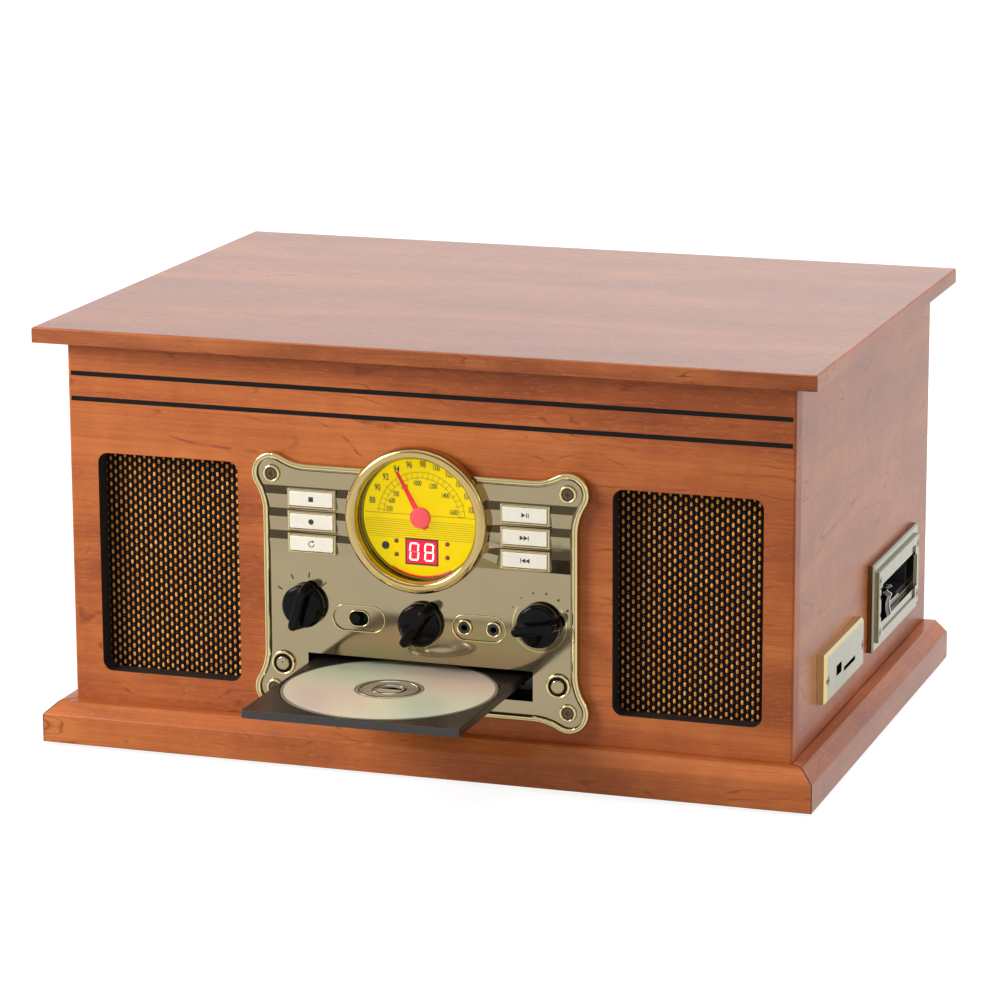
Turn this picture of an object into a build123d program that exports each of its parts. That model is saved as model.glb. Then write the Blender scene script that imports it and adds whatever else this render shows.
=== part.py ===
"""Retro stereo music centre: wooden cabinet with a lift-up lid over a record
deck, a plated fascia with a radio dial, a CD tray, and card and cassette
panels on the right side.

Millimetres.  X runs along the front, Y towards the back, Z up.  The origin is
under the middle of the whole object, with the CD tray out as it stands open.
"""
import os
from math import cos, radians, sin, sqrt

from build123d import *

# ---------------------------------------------------------------- cabinet
CABINET_W = 426.0
CABINET_D = 322.0
CABINET_H = 234.0
BOARD_T = 12.0
BACK_T = 5.0
BASE_T = 9.0
EDGE_R = 1.5
FOOT_H = 2.5
FOOT_R = 11.0
FOOT_INSET = 34.0

PLINTH_OUT = 15.0
PLINTH_FACE_H = 16.6
PLINTH_TOP_H = 23.5
PLINTH_LEDGE = 7.5

STRIPE_H = 2.2
STRIPE_DEPTH = 0.8
STRIPE_INSET = 1.8
STRIPE_DROPS = (33.4, 18.8)

# ------------------------------------------------------------------- lid
LID_T = 9.0
LID_OVERHANG = 15.0
LID_EDGE = 0.8
HINGE_AXIS_OUT = 2.8
LID_GAP = 0.3
LID_OPEN_DEG = 65.0
HINGE_X = 135.0
HINGE_L = 40.0
LEAF_T = 1.2
LEAF_H = 14.0
KNUCKLE_R = 2.4
HINGE_PIN_R = 1.0
STAY_R = 130.0
STAY_W = 8.0
STAY_T = 1.6
STAY_PIVOT_DROP = 2.5
STAY_TRACK_DROP = 6.5
TRACK_T = 4.0
TRACK_W = 10.0
STUD_R = 1.4

# -------------------------------------------------------------- speakers
SPEAKER_EDGE = 17.4
SPEAKER_PLATE_GAP = 11.2
SPEAKER_Z = 105.9
SPEAKER_H = 128.2
SPEAKER_CORNER_R = 6.0
CLOTH_MARGIN = 5.0
CLOTH_T = 1.2
CONE_MARGIN = 4.7
FRAME_MARGIN = 0.2
SURROUND_W = 5.0
SURROUND_LAP = 2.0
FRAME_T = 1.6
BASKET_DEPTH = 26.0
MAGNET_R = 25.0
MAGNET_H = 13.0
CAP_R = 13.0

# --------------------------------------------------------------- fascia
PLATE_X = -1.0
PLATE_Z = 104.0
PLATE_T = 4.0
PLATE_WALL = 2.2
WAIST_W = 185.0
WAIST_H = 137.6
LOBE_X = 87.0
LOBE_Z = 62.2
LOBE_R = 12.0
SWEEP_R = 30.0
RIM_W = 3.2
RIM_RISE = 1.3
RIM_ROUND = 1.1
RIM_GROOVE = 0.9
RIB_TOP_Z = 159.5
RIB_PITCH = 12.87
RIB_FALL = 4.6
RIB_RISE = 1.5
RIB_COUNT = 3
MODULE_W = 160.0
MODULE_H = 128.0
SCREW_R = 1.5
SCREW_HEAD_R = 2.8
SCREW_HEAD_H = 1.5
SCREW_L = 12.0
SCREW_BOSS_R = 5.0
SCREW_BOSS_RISE = 1.0
FIT_GAP = 0.3
SHAFT_PLAY = 0.06

# ------------------------------------------------------------------ dial
DIAL_Z = 146.0
BEZEL_R = 41.5
BEZEL_RISE = 8.0
DIAL_GLASS_R = 35.4
LENS_R = 36.5
LENS_T = 1.6
LENS_DOME = 3.0
DIAL_DEPTH = 5.0
DIAL_FACE_T = 1.2
CUP_WALL = 1.8
NEEDLE_L = 29.0
NEEDLE_HUB_R = 6.0
NEEDLE_T = 0.8
NEEDLE_LEAN_DEG = 28.8
SPINDLE_R = 1.2
WINDOW_W = 19.4
WINDOW_H = 15.1
WINDOW_DROP = 20.0
LED_X = 15.0
LED_DROPS = (14.6, 22.3)
LED_R = 1.3

# -------------------------------------------------------------- controls
KEY_W = 26.0
KEY_H = 8.5
KEY_X = 62.75
KEY_RISE = 3.0
KEY_FRAME_W = 1.1
KEY_FRAME_RISE = 2.2
KEY_TRAVEL = 1.0
KEY_FLANGE = 3.0
ROUND_KEY_X = 81.4
ROUND_KEY_Z = 56.9
ROUND_KEY_R = 5.2
ROUND_KEY_RISE = 2.8
ROUND_RING_R = 7.0
ROUND_RING_RISE = 1.8
STEM_R = 2.0
FUNCTION_X, FUNCTION_Z = -69.0, 91.5
TUNING_X, TUNING_Z = 0.0, 86.0
VOLUME_X, VOLUME_Z = 69.5, 91.0
FUNCTION_TURN = 16.0
TUNING_TURN = 34.0
VOLUME_TURN = 80.0
KNOB_R = 12.4
KNOB_BASE_H = 6.0
KNOB_GRIP_L = 29.0
KNOB_GRIP_W = 8.6
KNOB_GRIP_H = 9.0
KNOB_GAP = 0.6
SHAFT_R = 3.0
STADIUM_W = 30.5
STADIUM_H = 14.4
STADIUM_DEPTH = 0.7
BAND_X = -37.0
JACK_PANEL_X = 34.2
CONTROL_Z = 86.0
BAND_SLOT_W = 11.3
BAND_SLOT_H = 8.0
BAND_TRAVEL = 4.0
JACK_X = (25.5, 42.6)
JACK_BORE_R = 1.8
JACK_NOSE_R = 3.2
JACK_DEPTH = 14.0

# ---------------------------------------------------------------- CD tray
SLOT_X = -1.15
SLOT_Z = 55.2
SLOT_W = 133.1
SLOT_H = 17.4
TRAY_X = -3.2
TRAY_W = 124.5
TRAY_L = 166.0
TRAY_TOP_Z = 60.0
TRAY_H = 4.5
TRAY_REACH = 111.6
DISC_R = 60.0
DISC_HOLE_R = 7.5
DISC_T = 1.2
DISC_HUB_R = 17.0
DISC_FRONT_GAP = 3.6
WELL_DEPTH = 1.6
DRIVE_WALL = 2.2
DRIVE_FLOOR_Z = 48.0
DRIVE_TOP_Z = 70.0
DRIVE_L = 171.0
DRIVE_LEG_R = 4.0
SLED_L = 92.0
SLED_W = 34.0
SLED_BACK = 28.0
PCB_T = 1.6

# ------------------------------------------------------------ right side
USB_PANEL_Y = 96.3
USB_PANEL_Z = 56.7
USB_PANEL_W = 88.0
USB_PANEL_H = 28.6
USB_PANEL_T = 5.7
USB_PANEL_CHAMFER = 1.6
USB_Y, USB_Z = 81.2, 56.0
USB_W, USB_H = 12.5, 6.0
CARD_Y, CARD_Z = 105.9, 52.6
CARD_W, CARD_H = 26.7, 2.5
USB_SCREW_X = 40.0
TAPE_Y = 226.6
TAPE_Z = 67.4
TAPE_W = 112.5
TAPE_H = 52.5
TAPE_FLANGE_T = 4.0
TAPE_STEP = 5.0
TAPE_STEP_RISE = 2.0
TAPE_BAND = 5.0
TAPE_MOUTH_W = 84.5
TAPE_MOUTH_H = 22.5
TAPE_SCREW_X = 48.0
TAPE_SCREW_Z = 15.5
TAPE_DEPTH = 96.0
BAY_W = 66.5
BAY_H = 15.0
LEVER_W = 12.6
LEVER_H = 19.0
LEVER_TRAVEL = 6.0
LEVER_L = 24.0
LEVER_OUT = 1.5
SOCKET_L = 22.0
SOCKET_BORE_L = 18.0

# ------------------------------------------------------------ record deck
DECK_DROP = 52.0
DECK_T = 3.0
GROOVE_DEPTH = 4.0
PLATTER_X = -38.0
PLATTER_R = 108.0
PLATTER_TOP = 9.0
PLATTER_WALL = 3.0
PLATTER_SKIRT = 14.0
RECESS_R = 111.0
RECESS_DEPTH = 8.0
BELT_RIM_R = 75.5
BELT_RIM_WALL = 2.5
BEARING_R = 4.0
BEARING_L = 18.0
CENTRE_PIN_R = 3.6
CENTRE_PIN_H = 14.0
MAT_T = 1.5
MAT_R = 105.5
PULLEY_R = 5.0
PULLEY_REACH = 93.0
PULLEY_DEG = 135.0
BELT_T = 0.8
BELT_H = 4.0
MOTOR_R = 17.0
MOTOR_H = 22.0
ARM_X = 155.0
ARM_BACK = 95.0
ARM_Z = 22.0
ARM_L = 190.0
ARM_R = 3.6
SHELL_L = 34.0
SHELL_W = 15.0
SHELL_DEG = 22.0
ARM_BASE_R = 23.0
ARM_BASE_H = 9.0
TURRET_R = 15.0
ARM_PIN_R = 1.5
WEIGHT_R = 8.0
WEIGHT_BACK = 38.0
WEIGHT_L = 18.0
CARTRIDGE_H = 4.3
STYLUS_H = 1.9
REST_REACH = 130.0
REST_W = 16.0
REST_D = 10.0
SLEEVE_WALL = 4.0
ARM_SLEEVE_L = 8.0
MOTOR_HOLE_R = 3.0
SPEED_SHAFT_R = 2.5
SPEED_DIAL_R = 8.0
SPEED_DIAL_H = 3.0
SPEED_GRIP_L = 20.0
SPEED_GRIP_W = 5.0
SPEED_COLLAR_R = 5.5
SPEED_COLLAR_L = 5.0
STOP_SLOT_L = 14.0
STOP_SLOT_W = 4.0
STOP_TRAVEL = 5.0
STOP_GRIP_L = 6.0
STOP_FLANGE = (9.0, 12.0)
CHEEK_T = 3.0
CHEEK_D = 14.0
TURRET_T = 3.0
SWITCH_EDGE = 19.0
SPEED_FRONT = 42.0
STOP_FRONT = 84.0

# -------------------------------------------------------------- back side
TERMINAL_X = -120.0
TERMINAL_Z = 62.0
TERMINAL_W = 84.0
TERMINAL_H = 34.0
TERMINAL_T = 1.5
PHONO_R = 4.15
PHONO_L = 8.0
PHONO_PITCH = 14.0
INLET_PITCH = 8.6
INLET_R = 3.9
INLET_DEPTH = 12.0
INLET_PIN_R = 1.2
INLET_WALL = 1.5
VENT_W = 3.0
VENT_H = 34.0
VENT_PITCH = 9.0
VENT_COUNT = 9
CORE_W = 58.0
CORE_D = 22.0
CORE_H = 48.0
COIL_W = 36.0
COIL_D = 42.0
COIL_H = 28.0
YOKE_W = 76.0
YOKE_D = 14.0
YOKE_T = 1.5
YOKE_HOLE_R = 2.0
CORE_SHIFT = 20.0
CORE_BACK = 80.0
MAIN_BOARD_X = 10.0
MAIN_BOARD_BACK = 60.0
MAIN_BOARD_W = 150.0
MAIN_BOARD_D = 90.0
POST_INSET = 6.0
POST_R = 3.0
POST_H = 6.0
HEAT_SINK_W = 14.0
HEAT_SINK_L = 70.0
CAN_R = 5.0
CAN_H = 14.0

# ---------------------------------------------------------- derived places
REAR_REACH = CABINET_D + max(TERMINAL_T + PHONO_L, HINGE_AXIS_OUT + KNUCKLE_R)
FRONT_Y = -(REAR_REACH - TRAY_REACH) / 2
BACK_Y = FRONT_Y + CABINET_D
BASE_Z = FOOT_H
TOP_Z = BASE_Z + CABINET_H
SIDE_X = CABINET_W / 2
SPEAKER_INNER_X = LOBE_X + LOBE_R + SPEAKER_PLATE_GAP
SPEAKER_W = SIDE_X - SPEAKER_EDGE - SPEAKER_INNER_X
SPEAKER_X = SPEAKER_INNER_X + SPEAKER_W / 2
CONE_R = SPEAKER_W / 2 - CONE_MARGIN
FRAME_R = SPEAKER_W / 2 + CLOTH_MARGIN - FRAME_MARGIN
INNER_X = SIDE_X - BOARD_T
INNER_FRONT = FRONT_Y + BOARD_T
INNER_BACK = BACK_Y - BACK_T
HINGE_Y = BACK_Y + HINGE_AXIS_OUT
HINGE_Z = TOP_Z + LID_GAP
DECK_Z = TOP_Z - DECK_DROP
PLATTER_Y = (INNER_FRONT + INNER_BACK) / 2
ARM_Y = PLATTER_Y + ARM_BACK
SWITCH_X = INNER_X - SWITCH_EDGE
KEY_ZS = [RIB_TOP_Z - 6.2 - row * RIB_PITCH for row in range(RIB_COUNT)]
ROUND_KEYS = [(PLATE_X - ROUND_KEY_X, ROUND_KEY_Z), (PLATE_X + ROUND_KEY_X, ROUND_KEY_Z)]
LOBES = [(PLATE_X + sx * LOBE_X, PLATE_Z + sz * LOBE_Z) for sx in (-1, 1) for sz in (-1, 1)]
KNOBS = [(FUNCTION_X, FUNCTION_Z), (TUNING_X, TUNING_Z), (VOLUME_X, VOLUME_Z)]
DISC_Y = -TRAY_REACH + DISC_FRONT_GAP + DISC_R
TRAY_TRAVEL = TRAY_REACH - PLATE_T - RIM_RISE
TAPE_SCREWS = [(TAPE_Y + sy * TAPE_SCREW_X, TAPE_Z + sz * TAPE_SCREW_Z) for sy in (-1, 1) for sz in (-1, 1)]
USB_SCREWS = [(USB_PANEL_Y - USB_SCREW_X, USB_PANEL_Z - 1.2), (USB_PANEL_Y + USB_SCREW_X, USB_PANEL_Z - 1.2)]
LEVER_Y = TAPE_Y - TAPE_MOUTH_W / 2 + LEVER_W / 2 + 1.0
BAY_Y = TAPE_Y + TAPE_MOUTH_W / 2 - BAY_W / 2 - 1.5


def front_plane(depth=0.0):
    """Plane that faces the listener, depth mm behind the cabinet's front face."""
    return Plane(origin=(0, FRONT_Y + depth, BASE_Z), x_dir=(1, 0, 0), z_dir=(0, -1, 0))


def back_plane(depth=0.0):
    """The same way round, depth mm behind the cabinet's back face."""
    return Plane(origin=(0, BACK_Y + depth, BASE_Z), x_dir=(1, 0, 0), z_dir=(0, -1, 0))


def side_plane(out=0.0):
    """Plane on the right side of the cabinet, out mm from it; its x runs back."""
    return Plane(origin=(SIDE_X + out, FRONT_Y, BASE_Z), x_dir=(0, 1, 0), z_dir=(1, 0, 0))


def turning_plane(x, z, out):
    """Plane through an axis square to the front: its x is the radius, its y points out."""
    return Plane(origin=(x, FRONT_Y - out, BASE_Z + z), x_dir=(1, 0, 0), z_dir=(0, 0, -1))


def turning_axis(x, z):
    """Axis square to the front at x, z."""
    return Axis((x, FRONT_Y, BASE_Z + z), (0, -1, 0))


def upright_plane(x, y, z=0.0):
    """Plane through a vertical axis: its x is the radius, its y points up."""
    return Plane(origin=(x, y, z), x_dir=(1, 0, 0), z_dir=(0, -1, 0))


def dome_height(reach, edge_r, rise):
    """Height of a spherical dome above its edge, reach mm from the middle."""
    ball_r = (edge_r**2 + rise**2) / (2 * rise)
    return rise - ball_r + sqrt(ball_r**2 - reach**2)


def scrolled_outline(inset=0.0):
    """Fascia outline with four scrolled corners, moved inwards by inset."""
    half_w = WAIST_W / 2 - inset
    half_h = WAIST_H / 2 - inset
    lobe_r = LOBE_R - inset
    sweep_r = SWEEP_R + inset

    def run(rise):
        """How far before the lobe's centre the sweep leaves its straight edge."""
        return sqrt((lobe_r - rise) * (lobe_r + rise + 2 * sweep_r))

    lobe = Vector(LOBE_X, LOBE_Z)
    top_sweep = Vector(LOBE_X - run(half_h - LOBE_Z), half_h + sweep_r)
    side_sweep = Vector(half_w + sweep_r, LOBE_Z - run(half_w - LOBE_X))
    meet_top = lobe + (top_sweep - lobe).normalized() * lobe_r
    meet_side = lobe + (side_sweep - lobe).normalized() * lobe_r
    with BuildSketch() as outline:
        with BuildLine():
            top = Line((0, half_h), (top_sweep.X, half_h))
            sweep_in = TangentArc(top @ 1, meet_top, tangent=top % 1)
            scroll = TangentArc(sweep_in @ 1, meet_side, tangent=sweep_in % 1)
            sweep_out = TangentArc(scroll @ 1, (half_w, side_sweep.Y), tangent=scroll % 1)
            Line(sweep_out @ 1, (half_w, 0))
            mirror(about=Plane.XZ)
            mirror(about=Plane.YZ)
        make_face()
    return outline.sketch


# ================================================================ cabinet
with BuildPart() as front_panel:
    with BuildSketch(front_plane()):
        with Locations((0, CABINET_H / 2)):
            Rectangle(CABINET_W, CABINET_H)
        with Locations((-SPEAKER_X, SPEAKER_Z), (SPEAKER_X, SPEAKER_Z)):
            RectangleRounded(SPEAKER_W, SPEAKER_H, SPEAKER_CORNER_R, mode=Mode.SUBTRACT)
        with Locations((PLATE_X, PLATE_Z)):
            Rectangle(MODULE_W, MODULE_H, mode=Mode.SUBTRACT)
        with Locations((PLATE_X, DIAL_Z)):
            Circle(DIAL_GLASS_R + CUP_WALL + 1.5, mode=Mode.SUBTRACT)
        with Locations(*ROUND_KEYS):
            Circle(ROUND_KEY_R + CUP_WALL, mode=Mode.SUBTRACT)
    extrude(amount=-BOARD_T)
    with BuildSketch(front_plane()):
        with Locations(*[(0, CABINET_H - drop) for drop in STRIPE_DROPS]):
            Rectangle(CABINET_W - 2 * STRIPE_INSET, STRIPE_H)
    extrude(amount=-STRIPE_DEPTH, mode=Mode.SUBTRACT)
    with BuildSketch(front_plane()):
        with Locations(*LOBES):
            Circle(SCREW_R)
    extrude(amount=-(SCREW_L - PLATE_T + SCREW_HEAD_H), mode=Mode.SUBTRACT)
    front_corners = front_panel.edges().filter_by(Axis.Z).group_by(Axis.Y)[0].sort_by(Axis.X)
    fillet([front_corners[0], front_corners[-1]], EDGE_R)

with BuildPart() as stripe_inlays:
    with BuildSketch(front_plane(STRIPE_DEPTH)):
        with Locations(*[(0, CABINET_H - drop) for drop in STRIPE_DROPS]):
            Rectangle(CABINET_W - 2 * STRIPE_INSET, STRIPE_H)
    extrude(amount=STRIPE_DEPTH)

with BuildPart() as left_side_panel:
    with BuildSketch(side_plane(-CABINET_W)):
        with Locations(((BOARD_T + CABINET_D) / 2, CABINET_H / 2)):
            Rectangle(CABINET_D - BOARD_T, CABINET_H)
    extrude(amount=BOARD_T)
    with BuildSketch(side_plane(-CABINET_W + BOARD_T)):
        with Locations(((BOARD_T + CABINET_D - BACK_T) / 2, CABINET_H - DECK_DROP - DECK_T / 2)):
            Rectangle(CABINET_D - BOARD_T - BACK_T, DECK_T)
    extrude(amount=-GROOVE_DEPTH, mode=Mode.SUBTRACT)

with BuildPart() as right_side_panel:
    with BuildSketch(side_plane()):
        with Locations(((BOARD_T + CABINET_D) / 2, CABINET_H / 2)):
            Rectangle(CABINET_D - BOARD_T, CABINET_H)
        with Locations((USB_PANEL_Y, USB_PANEL_Z - 1.5)):
            Rectangle(USB_PANEL_W - 18, USB_PANEL_H - 9, mode=Mode.SUBTRACT)
        with Locations((TAPE_Y, TAPE_Z)):
            Rectangle(TAPE_MOUTH_W + 5, TAPE_MOUTH_H + 5, mode=Mode.SUBTRACT)
    extrude(amount=-BOARD_T)
    with BuildSketch(side_plane(-BOARD_T)):
        with Locations(((BOARD_T + CABINET_D - BACK_T) / 2, CABINET_H - DECK_DROP - DECK_T / 2)):
            Rectangle(CABINET_D - BOARD_T - BACK_T, DECK_T)
    extrude(amount=GROOVE_DEPTH, mode=Mode.SUBTRACT)
    with BuildSketch(side_plane()):
        with Locations(*USB_SCREWS, *TAPE_SCREWS):
            Circle(SCREW_R)
    extrude(amount=-SCREW_L + TAPE_FLANGE_T, mode=Mode.SUBTRACT)

with BuildPart() as back_panel:
    with BuildSketch(back_plane()):
        with Locations((0, CABINET_H / 2)):
            Rectangle(2 * INNER_X, CABINET_H)
        with Locations((TERMINAL_X, TERMINAL_Z)):
            Rectangle(TERMINAL_W - 12, TERMINAL_H - 10, mode=Mode.SUBTRACT)
        with Locations((0, TERMINAL_Z)):
            with GridLocations(VENT_PITCH, 1, VENT_COUNT, 1):
                SlotOverall(VENT_H, VENT_W, rotation=90, mode=Mode.SUBTRACT)
    extrude(amount=BACK_T)

with BuildPart() as base_board:
    with BuildSketch(Plane.XY.offset(BASE_Z)):
        with Locations((0, (INNER_FRONT + INNER_BACK) / 2)):
            Rectangle(2 * INNER_X, INNER_BACK - INNER_FRONT)
    extrude(amount=BASE_T)


def plinth_length(section_plane, length, plan):
    """One mitred length of plinth: its section, cut to the plan of its mitres."""
    with BuildPart() as moulding:
        with BuildSketch(section_plane):
            with BuildLine():
                Polyline(
                    (0, 0),
                    (PLINTH_OUT, 0),
                    (PLINTH_OUT, PLINTH_FACE_H),
                    (PLINTH_LEDGE, PLINTH_TOP_H),
                    (0, PLINTH_TOP_H),
                    close=True,
                )
            make_face()
        extrude(amount=length, both=True)
        with BuildSketch(Plane.XY.offset(BASE_Z)):
            with BuildLine():
                Polyline(*plan, close=True)
            make_face()
        extrude(amount=PLINTH_TOP_H, mode=Mode.INTERSECT)
    return moulding.part


def plinth():
    """Plinth moulding round the front and both sides, mitred at the corners."""
    out_x = SIDE_X + PLINTH_OUT
    out_y = FRONT_Y - PLINTH_OUT
    front = plinth_length(
        Plane(origin=(0, FRONT_Y, BASE_Z), x_dir=(0, -1, 0), z_dir=(-1, 0, 0)),
        out_x,
        [(-out_x, out_y), (out_x, out_y), (SIDE_X, FRONT_Y), (-SIDE_X, FRONT_Y)],
    )
    right = plinth_length(
        Plane(origin=(SIDE_X, FRONT_Y, BASE_Z), x_dir=(1, 0, 0), z_dir=(0, -1, 0)),
        CABINET_D,
        [(out_x, out_y), (out_x, BACK_Y), (SIDE_X, BACK_Y), (SIDE_X, FRONT_Y)],
    )
    left = mirror(right, about=Plane.YZ, mode=Mode.PRIVATE)
    return Compound(children=[front, right, left])


plinth_moulding = plinth()

with BuildPart() as rubber_feet:
    with BuildSketch(Plane.XY):
        with Locations((0, (INNER_FRONT + INNER_BACK) / 2)):
            with GridLocations(2 * (SIDE_X - FOOT_INSET), CABINET_D - 2 * FOOT_INSET, 2, 2):
                Circle(FOOT_R)
    extrude(amount=FOOT_H)
    chamfer(rubber_feet.edges().filter_by(GeomType.CIRCLE).group_by(Axis.Z)[0], 0.6)

# =============================================================== speakers
with BuildPart() as grille_cloths:
    with BuildSketch(front_plane(BOARD_T)):
        with Locations((-SPEAKER_X, SPEAKER_Z), (SPEAKER_X, SPEAKER_Z)):
            RectangleRounded(SPEAKER_W + 2 * CLOTH_MARGIN, SPEAKER_H + 2 * CLOTH_MARGIN, SPEAKER_CORNER_R)
    extrude(amount=-CLOTH_T)


def speaker_frame(x):
    """Pressed basket with four windows, its flange on the cloth, and its magnet."""
    flange_depth = BOARD_T + CLOTH_T
    seat = turning_plane(x, SPEAKER_Z, -flange_depth)
    with BuildPart() as frame:
        with BuildSketch(seat):
            with BuildLine():
                Polyline(
                    (CONE_R + SURROUND_W - SURROUND_LAP, 0),
                    (FRAME_R, 0),
                    (FRAME_R, -FRAME_T),
                    (CONE_R + SURROUND_W, -FRAME_T),
                    (MAGNET_R + FRAME_T, -BASKET_DEPTH + FRAME_T),
                    (MAGNET_R + FRAME_T, -BASKET_DEPTH),
                    (CAP_R, -BASKET_DEPTH),
                    (CAP_R, -BASKET_DEPTH + FRAME_T),
                    (MAGNET_R, -BASKET_DEPTH + FRAME_T),
                    (CONE_R + SURROUND_W - SURROUND_LAP, -FRAME_T),
                    close=True,
                )
            make_face()
        revolve(axis=turning_axis(x, SPEAKER_Z))
        with BuildSketch(front_plane(flange_depth + 2 * FRAME_T)):
            with Locations((x, SPEAKER_Z)):
                with PolarLocations(MAGNET_R + 9, 4, start_angle=45):
                    Circle(7.5)
        extrude(amount=-(BASKET_DEPTH - 4 * FRAME_T), mode=Mode.SUBTRACT)
        with BuildSketch(front_plane(flange_depth + BASKET_DEPTH)):
            with Locations((x, SPEAKER_Z)):
                Circle(MAGNET_R)
        extrude(amount=-MAGNET_H)
        fillet(frame.edges().group_by(Axis.Y)[-1], 1.0)
    return frame.part


def speaker_cone(x):
    """Paper cone with a rolled surround and a dust cap, fixed behind the flange lip."""
    flange_depth = BOARD_T + CLOTH_T
    lip = CONE_R + SURROUND_W - SURROUND_LAP
    with BuildPart() as cone:
        with BuildSketch(turning_plane(x, SPEAKER_Z, -flange_depth)):
            with BuildLine():
                outer = Line((lip, -0.4), (CONE_R, -0.4))
                roll = ThreePointArc(outer @ 1, (CONE_R - 2.6, -0.9), (CONE_R - 4, -2.4))
                wall = Line(roll @ 1, (CAP_R, -15))
                cap = ThreePointArc(wall @ 1, (CAP_R / 2, dome_height(CAP_R / 2, CAP_R, 4) - 15), (0, -11))
                Line(cap @ 1, (0, -12.4))
                rear_r = CAP_R - 0.4
                back_cap = ThreePointArc((0, -12.4), (rear_r / 2, dome_height(rear_r / 2, rear_r, 4) - 16.4),
                                         (rear_r, -16.4))
                back_wall = Line(back_cap @ 1, (CONE_R - 3.6, -3.9))
                back_roll = ThreePointArc(back_wall @ 1, (CONE_R - 2.2, -1.4), (CONE_R, -1.5))
                Line(back_roll @ 1, (lip, -1.5))
                Line((lip, -1.5), (lip, -0.4))
            make_face()
        revolve(axis=turning_axis(x, SPEAKER_Z))
    return cone.part


speaker_frames = Compound(children=[speaker_frame(-SPEAKER_X), speaker_frame(SPEAKER_X)])
speaker_cones = Compound(children=[speaker_cone(-SPEAKER_X), speaker_cone(SPEAKER_X)])

# ================================================================= fascia
KEY_OPENINGS = [(PLATE_X + side * KEY_X, z) for side in (-1, 1) for z in KEY_ZS]
CUP_R = DIAL_GLASS_R + CUP_WALL

with BuildPart() as ribs:
    rib_end = Plane(origin=(PLATE_X, FRONT_Y - PLATE_T, BASE_Z), x_dir=(0, -1, 0), z_dir=(-1, 0, 0))
    with BuildSketch(rib_end):
        for row in range(RIB_COUNT):
            crest = RIB_TOP_Z - row * RIB_PITCH
            with BuildLine():
                Polyline(
                    (0, crest),
                    (RIB_RISE, crest - RIB_FALL),
                    (0, crest - RIB_PITCH),
                    close=True,
                )
            make_face()
    extrude(amount=WAIST_W, both=True)
    with BuildSketch(front_plane(-PLATE_T)):
        with Locations((PLATE_X, PLATE_Z)):
            add(scrolled_outline(RIM_W + RIM_GROOVE))
        with Locations((PLATE_X, DIAL_Z)):
            Circle(BEZEL_R, mode=Mode.SUBTRACT)
    extrude(amount=RIB_RISE, mode=Mode.INTERSECT)

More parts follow.
